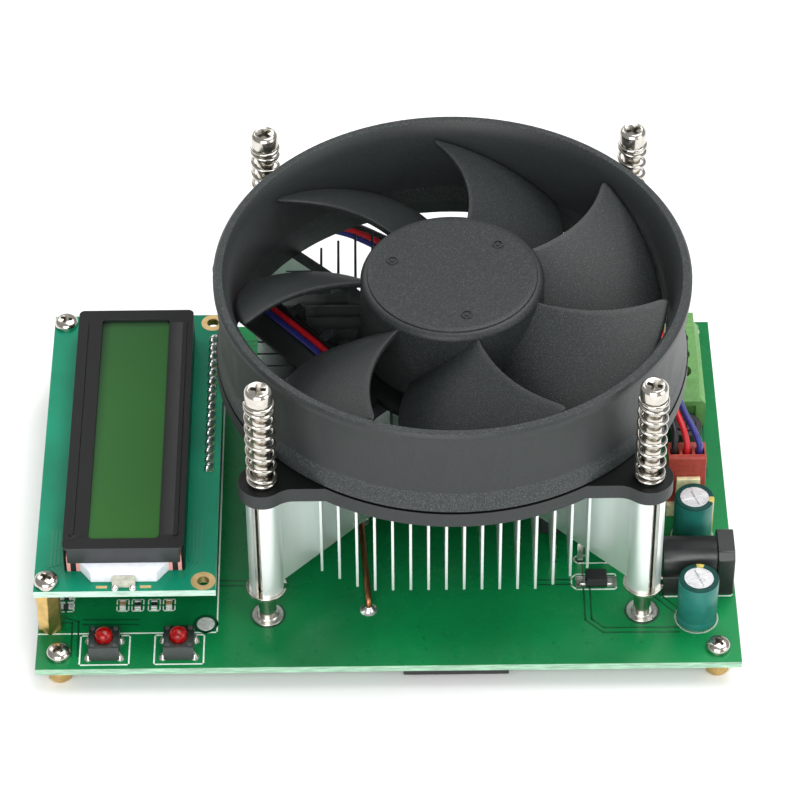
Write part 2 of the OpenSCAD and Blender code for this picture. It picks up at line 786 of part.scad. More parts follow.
module fan_wire_blue() {
    color("midnightblue") fan_wire(1);
}

module fan_plug() {
    plug_l = 4.9;
    color("firebrick") difference() {
        translate([header_x, header_y + 0.05, plug_z]) block(plug_w, plug_l, plug_h);
        at(header_xy, plug_z + plug_h - 4.3) block(1.9, 1.9, 5);
        at(header_xy, plug_z - 1) block(post_w, post_w, 8.6);
    }
}

module fan_header() {
    tab = 1;
    color("wheat") difference() {
        translate([header_x, header_y, zt]) {
            translate([-plug_w / 2, -3.5, 0]) cube([plug_w, 6.2, header_h]);
            translate([0.3, -3.5 + tab / 2, 0]) block(4.8, tab, 10.6);
        }
        at(header_xy, zt - 1) block(post_w, post_w, header_h + 2);
    }
}

module header_pins() {
    color("silver") at(header_xy, zb) block(post_w, post_w, board_t + header_h + 7.6);
}

// Four-way block: screw wells above, wire openings towards +X
module terminal_block() {
    start = term_y - 6;
    end = term_y + 3.5 * term_pitch + 0.2;
    side = 4.7;
    heel = -5.3;
    color("yellowgreen") difference() {
        intersection() {
            translate([term_x, start, zt]) rotate([90, 0, 0]) mirror([0, 0, 1]) linear_extrude(end - start)
                polygon([[heel, 0], [side, 0], [side, 6.6], [3.4, 8], [3.4, term_h], [-4.1, term_h],
                    [heel, 8.8]]);
            translate([term_x + heel, 0, zt]) rotate([90, 0, 90]) linear_extrude(side - heel)
                polygon([[start, 0], [end, 0], [end, term_h], [term_y - 2.2, term_h], [start + 0.4, 7.6],
                    [start, 7.2]]);
        }
        // recess in the front end, where a further block would lock on
        translate([term_x + heel - 1, start - 1, zt - 1]) cube([9, 1.6, 7]);
        at(term_xy, zt) {
            translate([0, 0, term_floor + 1]) cylinder(r = 1.9, h = term_h);
            translate([-2.1, -1.9, term_floor]) cube([8, 3.8, cage_h]);
            translate([0, 0, -1]) cylinder(r = pin_r + fit, h = 3);
        }
    }
}

module terminal_cages() {
    color("silver") at(term_xy, zt + term_floor) {
        difference() {
            block(4.2, 3.8, cage_h);
            translate([0, 0, 0.8]) block(6, 2.6, 2.8);
            translate([0, 0, 2]) cylinder(d = term_screw_d + 2 * fit, h = 10);
        }
        translate([0, 0, -term_floor]) cylinder(r = pin_r, h = term_floor + eps);
    }
}

module terminal_screw(i) {
    color("silver") translate([term_xy[i][0], term_xy[i][1], zt + term_floor + cage_h + 0.1]) {
        difference() {
            cylinder(r = 1.8, h = 2);
            translate([0, 0, 1.2]) block(4, 0.6, 1);
        }
        translate([0, 0, -2.2]) cylinder(d = term_screw_d, h = 2.2);
    }
}

module trimmer_body() {
    color("black") translate([trimmer_xy[0], trimmer_xy[1], zt]) difference() {
        cylinder(r = trimmer_r, h = trimmer_h);
        translate([0, 0, trimmer_h - 1.2]) cylinder(r = 2.2, h = 2);
    }
}

module trimmer_rotor() {
    color("dimgray") translate([trimmer_xy[0], trimmer_xy[1], zt + trimmer_h - 1.15]) difference() {
        cylinder(r = 2.2 - 2 * fit, h = 1.5);
        translate([0, 0, 0.9]) cross_cut(0.6, 3, 1);
    }
}

// Barrel jack: square face with bevelled top corners, round barrel on a block
module jack_body() {
    half = 4.5;
    bevel = 1.4;
    barrel_r = 4.2;
    bore_l = 9.5;
    color("black") difference() {
        union() {
            translate([jack_face - jack_flange, jack_y, zt]) rotate([90, 0, 90]) linear_extrude(jack_flange)
                polygon([[-half, 0], [half, 0], [half, 11 - bevel], [half - bevel, 11], [bevel - half, 11],
                    [-half, 11 - bevel]]);
            translate([jack_back, jack_y - half, zt])
                cube([jack_face - jack_back - 1, 2 * half, jack_z - zt - 1.5]);
            translate([jack_back, jack_y, jack_z]) rotate([0, 90, 0])
                cylinder(r = barrel_r, h = jack_face - jack_back - 1);
        }
        translate([jack_face - bore_l, jack_y, jack_z]) rotate([0, 90, 0])
            cylinder(d = jack_d, h = bore_l + 1);
        translate([jack_face - bore_l - 2, jack_y, jack_z]) rotate([0, 90, 0]) cylinder(r = 1, h = bore_l);
    }
}

module jack_pin() {
    color("silver") translate([jack_face - 11.5, jack_y, jack_z]) rotate([0, 90, 0]) cylinder(r = 1, h = 11);
}

module capacitor_sleeves() {
    color("teal") at(cap_xy, zt) difference() {
        cylinder(d = cap_d, h = cap_h);
        translate([0, 0, -1]) cylinder(d = cap_d - 2 * cap_wall, h = cap_h - cap_wall + 1);
        cylinder(d = 5.4, h = cap_h + 1);
    }
}

module capacitor_cans() {
    color("gainsboro") at(cap_xy, zt) difference() {
        cylinder(d = cap_d - 2 * cap_wall, h = cap_h - cap_wall);
        translate([0, 0, cap_h - cap_wall - 0.2]) rotate(20) cross_cut(0.3, 4.6, 1);
    }
}

module smd_diode() {
    color("black") translate([42.1, -27.3, zt]) block(4.4, 3.6, 2.2);
}

module chip_blocks(places, size) {
    at(places, zt) block(size[0], size[1], size[2]);
}

module smd_resistors() {
    color("black") chip_blocks([[left + 19.7, -32.4], [left + 23, -32.4]], [1.25, 2, 0.5]);
    color("black") chip_blocks([[left + 5.3, -32.8], [left + 5.3, -30.2]], [2, 1.25, 0.5]);
}

module smd_capacitors() {
    color("tan") chip_blocks([[left + 16.7, -32.4], [left + 26, -32.4]], [1.25, 2, 0.8]);
}

// Controller, amplifier and regulator under the display
module chips() {
    color("black") {
        chip_blocks([[left + 18, 4]], [9, 9, 1.2]);
        chip_blocks([[left + 20, -15]], [4, 5, 1.5]);
        chip_blocks([[left + 15, 25]], [6.4, 6, 2.3]);
    }
}

module switch_bodies() {
    cavity_r = button_d / 2 + 0.65;
    cavity_z = button_flange_z - button_travel - 0.05;
    color("black") at(switch_xy, zt) difference() {
        union() {
            block(switch_w, switch_w, switch_h);
            at([for (x = [-1, 1], y = [-1, 1]) [x, y] * switch_post])
                cylinder(r = 0.5, h = switch_h + cover_t + 0.2);
        }
        translate([0, 0, cavity_z]) cylinder(r = cavity_r, h = 5);
    }
}

module switch_covers() {
    color("gray") at(switch_xy, zt + switch_h) difference() {
        block(switch_w, switch_w, cover_t);
        translate([0, 0, -1]) cylinder(r = button_d / 2 + 0.1, h = 3);
        at([for (x = [-1, 1], y = [-1, 1]) [x, y] * switch_post], -1) cylinder(r = 0.5, h = 3);
    }
}

module switch_legs() {
    color("silver") at(leg_xy, zb) block(0.3, 0.7, board_t + 1.5);
}

// Round-topped button with the collar that the cover holds down
module button(i) {
    dome_r = button_d * 0.62;
    color("red") translate([switch_xy[i][0], switch_xy[i][1], zt]) {
        intersection() {
            translate([0, 0, button_flange_z]) cylinder(d = button_d, h = button_top);
            translate([0, 0, button_top - dome_r]) sphere(dome_r);
        }
        translate([0, 0, button_flange_z]) cylinder(r = button_d / 2 + 0.3, h = 0.8);
    }
}

main_board();
board_feet();
pan_screws();
lcd_posts();
lcd_board();
lcd_bezel();
lcd_glass();
lcd_guide();
lcd_strips();
lcd_lamp();
lcd_header();
lcd_pins();
heat_sink();
thermal_pads();
transistors();
transistor_tabs();
transistor_leads();
shunt_wire();
solder_joints();
through_pins();
fan_frame();
stator_core();
stator_coils();
fan_bearing();
motor_board();
fan_rotor();
rotor_magnet();
rotor_shaft();
spring_screws();
springs();
screw_clips();
bushings();
back_plate();
fan_wire_black();
fan_wire_red();
fan_wire_blue();
fan_plug();
fan_header();
header_pins();
terminal_block();
terminal_cages();
terminal_screw(0);  // terminal_screw_1
terminal_screw(1);  // terminal_screw_2
terminal_screw(2);  // terminal_screw_3
terminal_screw(3);  // terminal_screw_4
trimmer_body();
trimmer_rotor();
jack_body();
jack_pin();
capacitor_sleeves();
capacitor_cans();
smd_diode();
smd_resistors();
smd_capacitors();
chips();
switch_bodies();
switch_covers();
switch_legs();
button(0);  // button_left
button(1);  // button_right
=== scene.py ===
"""Looks of an open-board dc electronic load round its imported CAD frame. Sizes are in millimetres."""

import random
from math import cos, hypot, pi, radians, sin, sqrt

import bmesh
import bpy
from mathutils import Matrix, Vector


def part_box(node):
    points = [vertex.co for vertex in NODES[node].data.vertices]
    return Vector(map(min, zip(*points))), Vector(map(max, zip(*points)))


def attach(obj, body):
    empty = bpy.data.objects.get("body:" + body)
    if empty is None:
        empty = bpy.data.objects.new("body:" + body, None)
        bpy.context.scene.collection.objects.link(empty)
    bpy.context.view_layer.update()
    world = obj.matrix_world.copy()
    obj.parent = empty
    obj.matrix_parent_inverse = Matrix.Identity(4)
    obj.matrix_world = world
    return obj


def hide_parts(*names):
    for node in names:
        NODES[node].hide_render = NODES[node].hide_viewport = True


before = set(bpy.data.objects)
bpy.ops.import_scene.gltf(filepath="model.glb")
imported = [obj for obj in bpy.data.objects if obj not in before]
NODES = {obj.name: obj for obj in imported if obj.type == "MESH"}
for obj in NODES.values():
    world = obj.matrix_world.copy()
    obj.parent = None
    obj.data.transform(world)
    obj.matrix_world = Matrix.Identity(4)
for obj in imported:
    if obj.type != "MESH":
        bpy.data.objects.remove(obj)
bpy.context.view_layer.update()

MM = 0.001
ROOT = "board"


def span(node):
    """Lowest and highest corner of a CAD node."""
    lo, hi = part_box(node)
    return lo / MM, hi / MM


def centre(box):
    return (box[0] + box[1]) / 2


def middle(node):
    return centre(span(node))


def levels(node):
    """Lowest and highest level of a CAD node."""
    return tuple(corner.z for corner in span(node))


# Levels and places taken from the frame
ZB, ZT = levels("main_board")
LCD_Z, LCD_TOP = levels("lcd_board")
FAN_Z, FAN_TOP = levels("fan_frame")
SPRING_Z, SPRING_TOP = levels("springs")
SCREW_LOW, SCREW_TOP = levels("spring_screws")
CAP_H = levels("capacitor_sleeves")[1] - ZT
AXIS = middle("rotor_shaft")

# Fan rotor, heights above the frame's underside
HUB_R = 18.2
TIP_R = 42.9
HUB_TOP = 23
BLADES = 7
FIRST_BLADE = 95.3
BLADE_SPAN = 37
FLANGE_T = 3.4
MARK_R = 12.4
# Springs and screws
SPRING_R = 2.65
SPRING_WIRE_R = 0.4
SPRING_TURNS = 8.5
HEAD_R = 2.7
SHANK_R = 1.8
PAN_R = 2.45
PAN_H = 1.9
PAN_SHANK_R = 1.25
# How far the cutter of a recess stands out of the head
PROUD = 0.2
# Push buttons, capacitors and wires
BUTTON_R = 1.75
CAP_R = 4.0
WIRE_R = 0.65
# Display window
WINDOW_W = 14
WINDOW_L = 63.6
# Printed lines on the boards
SILK_W = 0.3
SILK_T = 0.03
GAP_W = 0.35
DISPLAY_GAP_W = 0.25
# Points nearer than this are one point of a CAD mesh
SEAM = 0.0005

# Fan lead: the middle wire's route from the motor to the plug, heights above the board,
# and the step from it to the third wire
LEAD_ROUTE = [(4.2, -1, 37.5), (-1, -2, 37.5), (-6, -2.2, 37.5), (-10.2, -0.2, 37.5), (-15, 5.6, 37.5),
              (-24, 16.1, 37.5), (-29, 22, 37.5), (-33, 26.7, 36.8), (-32.5, 34, 34.2),
              (-31, 41.5, 33.4), (-25, 46.2, 33), (-9, 46, 31.5), (1.5, 46, 26), (14, 46, 21.5),
              (32, 46, 20), (48, 46, 20), (56.5, 43.2, 21), (58, 34, 23), (57.5, 25, 24),
              (57, 17, 23.5), (57.6, 8, 21.5), (59.2, 1, 20.3), (60.4, -3, 19.2), (61.1, -5.2, 17.2),
              (61.2, -5.6, 14.4), (61.2, -5.6, 11.2)]
LEAD_SIDES = [(0.3, -1.45, 0), (0.2, -1.45, 0), (-0.3, -1.45, 0), (-1, -1.1, 0), (-1.1, -0.95, 0),
              (-1.1, -0.95, 0), (-1.1, -0.95, 0), (-1.6, -0.4, 0), (-1.5, 0.2, 0), (-1.2, 0.8, -0.5),
              (-0.5, 0.95, -1.05), (-0.5, 0.2, -1.4), (-0.65, 0, -1.35), (-0.3, 0, -1.45), (0, 0, -1.5),
              (0.3, 0.3, -1.45), (1.15, 0.75, -0.85), (1.4, 0.2, -0.4), (1.5, 0, 0), (1.5, 0, 0),
              (1.5, 0.2, 0), (1.4, 0.7, 0), (1.8, 0.8, 0), (2.5, 0.1, 0), (2.54, 0, 0), (2.54, 0, 0)]

# Looks of metals and plastics: name, shade, roughness, then grain, strength of the bump and spread
PLATED = {
    "tin": ("tin", (206, 206, 200), 0.26, 0.8, 0.25),
    "solder": ("solder", (222, 222, 220), 0.26, 0.9, 0.3),
    "gold_pad": ("gold_pad", (206, 178, 126), 0.4, 0.5, 0.15),
    "brass": ("brass", (206, 174, 112), 0.34, 0.5, 0.12, 0.08),
    "nickel": ("nickel", (202, 197, 188), 0.18, 0.5, 0.08),
    # A darker nickel for the cross recesses: painted shade
    "recess": ("nickel_recess_painted_shade", (156, 151, 143), 0.32, 0.4, 0.1),
    "chrome": ("spring_nickel", (196, 192, 184), 0.12, 0.4, 0.05),
    "steel": ("steel", (190, 192, 196), 0.25),
    "copper": ("copper", (176, 118, 82), 0.3, 0.7, 0.1, 0.1),
    "winding": ("winding", (170, 84, 44), 0.35, 0.4, 0.5),
    "can": ("cap_can", (222, 222, 224), 0.28, 0.4, 0.2),
    "cover": ("switch_cover", (84, 88, 87), 0.36, 0.3, 0.2),
}
PLASTIC = {
    # The bezel's front faces: paler grey as a painted highlight
    "bezel_front_painted_highlight": ("bezel_front_painted_highlight", (43, 46, 47), 0.36, 0.6, 0.06),
    "guide": ("guide_white", (232, 236, 244), 0.35, 0.5, 0.05, 0.03),
    "lamp": ("lamp_resin", (184, 184, 168), 0.25, 0.5, 0.15),
    "black": ("black_plastic", (30, 31, 32), 0.42, 0.22, 0.3),
    # The flange's upper faces: near-black as painted shade
    "flange": ("flange_top_painted_shade", (13, 15, 15), 0.4, 0.3, 0.15),
    "pad": ("thermal_pad", (116, 120, 124), 0.7, 0.4, 0.3),
    "magnet": ("magnet", (40, 40, 42), 0.6),
    "plate": ("plate_coat", (24, 25, 26), 0.45, 0.5, 0.2),
    "wire_black": ("wire_black", (24, 24, 26), 0.4, 1.2, 0.1),
    "wire_red": ("wire_red", (196, 30, 40), 0.38, 1.2, 0.1),
    "wire_blue": ("wire_blue", (42, 46, 122), 0.38, 1.2, 0.1),
    "plug": ("plug_red", (160, 62, 50), 0.44, 0.3, 0.25),
    "cream": ("header_cream", (250, 230, 184), 0.5, 0.3, 0.2),
    "terminal": ("terminal_green", (95, 147, 79), 0.42, 0.3, 0.2, 0.06),
    "sleeve_rim": ("cap_sleeve_rim", (14, 62, 56), 0.5, 0.4, 0.1),
    "chip": ("chip_black", (34, 35, 37), 0.5, 0.3, 0.35),
    "ceramic": ("chip_tan", (176, 134, 88), 0.45, 0.2, 0.2, 0.12),
    "jack": ("jack_black", (26, 27, 28), 0.32, 0.4, 0.1),
    "switch": ("switch_plastic", (61, 65, 64), 0.42, 0.22, 0.25),
}


def linear(r, g, b):
    """A colour written as 0 to 255, as the shader wants it."""
    return tuple(c / 3294.6 if c <= 10.3 else ((c / 255 + 0.055) / 1.055) ** 2.4 for c in (r, g, b)) + (1.0,)


class Surface:
    """A procedural material: two close shades mixed by noise, with its own roughness and grain."""

    def __init__(self, name, shade, rough, metal=0.0):
        self.material = bpy.data.materials.new(name)
        self.material.use_nodes = True
        self.nodes = self.material.node_tree.nodes
        self.links = self.material.node_tree.links
        self.shader = self.nodes["Principled BSDF"]
        self.shade = shade
        self.shader.inputs["Base Color"].default_value = linear(*shade)
        self.shader.inputs["Roughness"].default_value = rough
        self.shader.inputs["Metallic"].default_value = metal
        self.place = self.nodes.new("ShaderNodeTexCoord").outputs["Object"]

    def set(self, **values):
        for key, value in values.items():
            self.shader.inputs[key.replace("_", " ").title().replace("Ior", "IOR")].default_value = value
        return self

    def noise(self, size, detail=2.0, stretch=(1, 1, 1)):
        """Noise with features about size across."""
        mapping = self.nodes.new("ShaderNodeMapping")
        mapping.inputs["Scale"].default_value = [1 / (size * MM * s) for s in stretch]
        self.links.new(self.place, mapping.inputs["Vector"])
        noise = self.nodes.new("ShaderNodeTexNoise")
        noise.inputs["Scale"].default_value = 1.0
        noise.inputs["Detail"].default_value = detail
        self.links.new(mapping.outputs["Vector"], noise.inputs["Vector"])
        return noise.outputs["Fac"]

    def ramp(self, value, stops):
        """Colours by value; stops are (position, colour)."""
        node = self.nodes.new("ShaderNodeValToRGB")
        while len(node.color_ramp.elements) < len(stops):
            node.color_ramp.elements.new(0.5)
        for element, (position, colour) in zip(node.color_ramp.elements, stops):
            element.position = position
            element.color = colour
        self.links.new(value, node.inputs["Fac"])
        return node.outputs["Color"]

    def colour(self, socket):
        self.links.new(socket, self.shader.inputs["Base Color"])
        return self

    def mottle(self, size, spread, detail=2.0, stretch=(1, 1, 1)):
        """Varies the shade by spread, a share of it."""
        shades = [linear(*[min(255, c * (1 + s * spread)) for c in self.shade]) for s in (-1, 1)]
        stops = list(zip((0.3, 0.7), shades))
        return self.colour(self.ramp(self.noise(size, detail, stretch), stops))

    def rough(self, size, low, high, stretch=(1, 1, 1)):
        node = self.nodes.new("ShaderNodeMapRange")
        node.inputs["To Min"].default_value = low
        node.inputs["To Max"].default_value = high
        self.links.new(self.noise(size, 3.0, stretch), node.inputs["Value"])
        self.links.new(node.outputs["Result"], self.shader.inputs["Roughness"])
        return self

    def bump(self, size, strength, depth=0.05, stretch=(1, 1, 1), detail=2.0):
        node = self.nodes.new("ShaderNodeBump")
        node.inputs["Strength"].default_value = strength
        node.inputs["Distance"].default_value = depth * MM
        self.links.new(self.noise(size, detail, stretch), node.inputs["Height"])
        self.links.new(node.outputs["Normal"], self.shader.inputs["Normal"])
        return self

    def axis(self, which):
        """One object coordinate, in metres."""
        node = self.nodes.new("ShaderNodeSeparateXYZ")
        self.links.new(self.place, node.inputs["Vector"])
        return node.outputs[which]

    def span(self, value, start, end):
        """Rises from 0 at start to 1 at end, and no further."""
        node = self.nodes.new("ShaderNodeMapRange")
        node.inputs["From Min"].default_value = start
        node.inputs["From Max"].default_value = end
        self.links.new(value, node.inputs["Value"])
        return node.outputs["Result"]

    def math(self, operation, a, b):
        node = self.nodes.new("ShaderNodeMath")
        node.operation = operation
        for socket, value in zip(node.inputs, (a, b)):
            if isinstance(value, (int, float)):
                socket.default_value = value
            else:
                self.links.new(value, socket)
        return node.outputs["Value"]


def plastic(name, shade, rough, grain=0.25, strength=0.25, spread=0.08):
    made = Surface(name, shade, rough).mottle(grain * 3, spread)
    made.rough(grain * 4, rough - 0.06, rough + 0.08)
    return made.bump(grain, strength)


def plated(name, shade, rough, grain=0.6, strength=0.06, spread=0.05):
    made = Surface(name, shade, rough, 1.0).mottle(grain * 4, spread)
    made.rough(grain * 3, max(0.04, rough - 0.06), rough + 0.08)
    return made.bump(grain, strength, 0.03)


def make_materials():
    m = {key: plated(*look) for key, look in PLATED.items()}
    m.update((key, plastic(*look)) for key, look in PLASTIC.items())
    m["board"] = Surface("board_mask", (9, 117, 62), 0.28).mottle(26, 0.1, 3.0)
    m["board"].rough(5, 0.22, 0.34).bump(1.6, 0.05, 0.03).set(specular_ior_level=0.32)
    edges = (("board_edge", (146, 184, 158), 0.16), ("display_edge", (188, 216, 200), 0.12))
    for edge, shade, spread in edges:
        m[edge] = Surface(edge, shade, 0.6).mottle(1.2, spread, 4.0, (3, 3, 0.3)).bump(0.3, 0.3)
    m["display_board"] = Surface("display_mask", (8, 126, 95), 0.3).mottle(18, 0.09, 3.0)
    m["display_board"].rough(4, 0.24, 0.36).bump(1.4, 0.05, 0.03).set(specular_ior_level=0.2)
    m["gap"] = Surface("mask_gap", (6, 72, 42), 0.32).mottle(6, 0.15)
    m["display_gap"] = Surface("display_gap", (10, 118, 88), 0.32).mottle(6, 0.12)
    m["silk"] = Surface("silk_ink", (226, 236, 228), 0.6).mottle(0.5, 0.06, 4.0).bump(0.15, 0.4, 0.02)
    m["bare_pad"] = Surface("bare_pad", (212, 216, 212), 0.45, 0.35).mottle(0.8, 0.08).bump(0.5, 0.2)
    m["aluminium"] = sink_material()
    # Painted shade: the sink's top faces under the fan take a dark grey aluminium
    m["sink_top_painted_shade"] = Surface("sink_top_painted_shade", (78, 86, 85), 0.5, 0.6).mottle(1.5, 0.15).bump(0.3, 0.3)
    m["bezel"] = Surface("bezel_paint", (9, 10, 10), 0.32).mottle(8, 0.12).bump(0.5, 0.05, 0.03)
    m["bezel"].rough(3, 0.26, 0.38).set(specular_ior_level=0.24)
    m["guide"].set(subsurface_weight=0.15, subsurface_radius=(0.002, 0.002, 0.002))
    m["fan"] = fan_material("fan_plastic", (30, 34, 34))
    m["fan_frame"] = fan_material("fan_frame_plastic", (38, 42, 42), True)
    m["flange"].set(specular_ior_level=0.25)
    m["lamination"] = Surface("lamination", (92, 95, 100), 0.45, 0.8).mottle(0.5, 0.2, 2.0, (8, 8, 1))
    m["lamination"].bump(0.4, 0.5)
    m["sleeve"] = Surface("cap_sleeve", (36, 110, 100), 0.34).mottle(4, 0.1).bump(1.0, 0.08, 0.03)
    m["sleeve"].set(specular_ior_level=0.3)
    m["sleeve_rim"].set(specular_ior_level=0.15)
    m["sleeve_gold"] = Surface("cap_stripe", (178, 160, 74), 0.35).mottle(1.2, 0.12)
    m["jack"].set(specular_ior_level=0.6)
    m["button"] = Surface("button_red", (132, 3, 4), 0.16).mottle(0.9, 0.22).bump(0.6, 0.05, 0.03)
    m["button"].set(specular_ior_level=0.4)
    m["window"] = window_material()
    m["strip"] = strip_material()
    return {name: surface.material for name, surface in m.items()}


def fan_material(name, shade, banded=False):
    """Charcoal plastic with a sparkling grain; banded keeps it to the ring's foot and rim, and makes the
    foot paler as painted light.
    """
    made = Surface(name, shade, 0.5).rough(0.4, 0.4, 0.56).set(specular_ior_level=0.4)
    shades = [linear(*[c * s for c in shade]) for s in (0.7, 1.0, 1.25, 2.2)]
    grain = made.noise(0.2, 1.0)
    if banded:
        height = made.axis("Z")
        low, high, rim = FAN_Z + 3.7, FAN_Z + 8, FAN_TOP - 0.3
        # calm tones down the grain on the wall; the foot band is shifted paler as painted light
        calm, foot_painted_light = 0.4, 0.05
        above = made.math("GREATER_THAN", height, low * MM)
        below = made.math("LESS_THAN", height, high * MM)
        foot = made.math("MULTIPLY", above, below)
        rough = made.math("MAXIMUM", foot, made.math("GREATER_THAN", height, rim * MM))
        share = made.math("ADD", made.math("MULTIPLY", rough, 1 - calm), calm)
        grain = made.math("MULTIPLY", made.math("SUBTRACT", grain, 0.5), share)
        grain = made.math("ADD", made.math("ADD", grain, 0.5), made.math("MULTIPLY", foot, foot_painted_light))
    stops = zip((0.3, 0.5, 0.6, 0.78), shades)
    made.colour(made.ramp(grain, list(stops)))
    return made.bump(0.3, 0.4, 0.05)


def sink_material():
    """Extruded aluminium, drawn upright, with painted shade that darkens it towards the fan between all but
    the front fins.
    """
    made = Surface("extruded_aluminium", (236, 243, 239), 0.34, 0.72)
    x = made.math("SUBTRACT", made.axis("X"), AXIS.x * MM)
    y = made.math("SUBTRACT", made.axis("Y"), AXIS.y * MM)
    away = made.math("SQRT", made.math("ADD", made.math("MULTIPLY", x, x), made.math("MULTIPLY", y, y)), 0.0)
    outer_r, inner_r, low, high = 39, 31, FAN_Z - 19, FAN_Z - 9
    inner = made.span(away, outer_r * MM, inner_r * MM)
    upper = made.span(made.axis("Z"), low * MM, high * MM)
    behind = made.math("GREATER_THAN", made.math("ADD", y, made.math("ABSOLUTE", x, 0.0)), 0.0)
    # Painted shade: inside the fin ring, high up and behind the front quadrant, the fins darken as if shaded
    # by the fan
    painted_shade = made.math("MULTIPLY", made.math("MULTIPLY", inner, upper), behind)
    streaks = made.math("MULTIPLY", made.noise(2.5, 3.0, (1, 1, 14)), 0.16)
    shade = made.math("ADD", painted_shade, streaks)
    # The last stop is the colour of the painted shade; the noise adds upright streaks
    made.colour(made.ramp(shade, [(0.05, linear(232, 239, 236)), (0.15, linear(223, 231, 228)),
                                  (1.0, linear(112, 121, 120))]))
    return made.rough(1.2, 0.28, 0.42, (1, 1, 20)).bump(0.5, 0.1, 0.03, (1, 1, 25))


def window_material():
    """Unlit display: green that fades towards the far end and in the shade of the bezel."""
    made = Surface("display_window", (58, 104, 54), 0.2)
    low, high = span("lcd_glass")
    left, top = (low.x + high.x - WINDOW_W) / 2, (low.y + high.y + WINDOW_L) / 2
    left_shade, top_shade, depth = 2, 2.2, 0.4
    along = made.math("MULTIPLY", made.span(made.axis("Y"), low.y * MM, high.y * MM), 0.55)
    mixed = made.math("ADD", along, made.math("MULTIPLY", made.noise(14), 0.08))
    for edge in (made.span(made.axis("X"), (left + left_shade) * MM, left * MM),
                 made.span(made.axis("Y"), (top - top_shade) * MM, top * MM)):
        mixed = made.math("ADD", mixed, made.math("MULTIPLY", edge, depth))
    made.colour(made.ramp(mixed, [(0.02, linear(43, 91, 36)), (0.35, linear(42, 90, 40)),
                                  (0.6, linear(37, 78, 38)), (1.0, linear(20, 40, 24))]))
    return made.set(specular_ior_level=0.12)


def strip_material():
    """Contact strip: a dark core between two pink flanks."""
    made = Surface("contact_strip", (224, 158, 150), 0.6)
    core, half_strip = 0.55 * MM, 1.3
    lo, hi = span("lcd_strips")
    middle_x = (lo.x + hi.x) / 2 * MM
    reach = (hi.x - lo.x) / 2 - half_strip
    away = made.math("ABSOLUTE", made.math("SUBTRACT", made.axis("X"), middle_x), 0.0)
    off = made.math("ABSOLUTE", made.math("SUBTRACT", away, reach * MM), 0.0)
    dark = made.math("LESS_THAN", off, core)
    made.colour(made.ramp(dark, [(0.0, linear(226, 160, 152)), (1.0, linear(28, 26, 28))]))
    return made.bump(0.4, 0.2)


def spin(degrees):
    return Matrix.Rotation(radians(degrees), 3, "Z")


def rectangle(lo, hi):
    return [(lo[0], lo[1]), (hi[0], lo[1]), (hi[0], hi[1]), (lo[0], hi[1])]


class Shape:
    """Gathers simple solids into one mesh; slot is the number of the material."""

    def __init__(self):
        self.verts, self.faces, self.slots = [], [], []

    def add(self, verts, faces, slot=0):
        start = len(self.verts)
        self.verts += [Vector(v) for v in verts]
        self.faces += [[start + i for i in f] for f in faces]
        self.slots += [slot] * len(faces)
        return self

    def loft(self, low, high, slot=0):
        """A solid between two rings of points, both counter-clockwise from above."""
        n = len(low)
        sides = [[i, (i + 1) % n, n + (i + 1) % n, n + i] for i in range(n)]
        return self.add([*low, *high], sides + [list(range(n))[::-1], list(range(n, 2 * n))], slot)

    def prism(self, outline, low, high, slot=0):
        """An upright solid over a counter-clockwise outline."""
        return self.loft([(x, y, low) for x, y in outline], [(x, y, high) for x, y in outline], slot)

    def box(self, lo, hi, slot=0):
        return self.prism(rectangle(lo, hi), lo[2], hi[2], slot)

    def lathe(self, profile, at, n=32, slot=0, turn=None, closed=False):
        """Turns a profile of (radius, height) about an upright axis through at."""
        turn = turn or Matrix.Identity(3)
        at = Vector(at)
        verts, rings = [], []
        for r, z in profile:
            ring = []
            for k in range(1 if r == 0 else n):
                a = 2 * pi * k / n
                ring.append(len(verts))
                verts.append(at + turn @ Vector((r * cos(a), r * sin(a), z)))
            rings.append(ring)
        pairs = list(zip(rings, rings[1:])) + ([(rings[-1], rings[0])] if closed else [])
        faces = []
        for a, b in pairs:
            for k in range(n):
                quad = [a[k % len(a)], a[(k + 1) % len(a)], b[(k + 1) % len(b)], b[k % len(b)]]
                faces.append(list(dict.fromkeys(quad)))
        return self.add(verts, [f for f in faces if len(f) > 2], slot)

    def tube(self, path, r, n):
        """A round rod along a path, closed by flat ends."""
        side = Vector((0.31, 0.17, 0.93))
        points = [Vector(p) for p in path]
        last = len(points) - 1
        verts = []
        for i, p in enumerate(points):
            t = (points[min(i + 1, last)] - points[max(i - 1, 0)]).normalized()
            side = (side - side.dot(t) * t).normalized()
            up = t.cross(side)
            for k in range(n):
                a = 2 * pi * k / n
                verts.append(p + r * (cos(a) * side + sin(a) * up))
        faces = [[i * n + k, i * n + (k + 1) % n, (i + 1) * n + (k + 1) % n, (i + 1) * n + k]
                 for i in range(last) for k in range(n)]
        faces += [list(range(n))[::-1], [last * n + k for k in range(n)]]
        return self.add(verts, faces)

    def line(self, points, width=SILK_W, z=ZT):
        """A flat printed line through points."""
        for a, b in zip(points, points[1:]):
            a, b = Vector(a), Vector(b)
            t = (b - a).normalized() * width / 2
            s = Vector((-t.y, t.x))
            corners = [a - t - s, b + t - s, b + t + s, a - t + s]
            self.prism([tuple(c) for c in corners], z, z + SILK_T)
        return self

    def ring(self, at, inner, outer, low=ZT, high=ZT + SILK_T, n=40):
        profile = [(outer, low), (outer, high), (inner, high), (inner, low)]
        return self.lathe(profile, (at[0], at[1], 0), n, closed=True)

    def copy(self, other, at, turn=None):
        turn = turn or Matrix.Identity(3)
        first = len(self.slots)
        self.add([Vector(at) + turn @ v for v in other.verts], other.faces)
        self.slots[first:] = other.slots
        return self


def new_object(name, data):
    """An object in the scene."""
    obj = bpy.data.objects.new(name, data)
    bpy.context.scene.collection.objects.link(obj)
    return obj


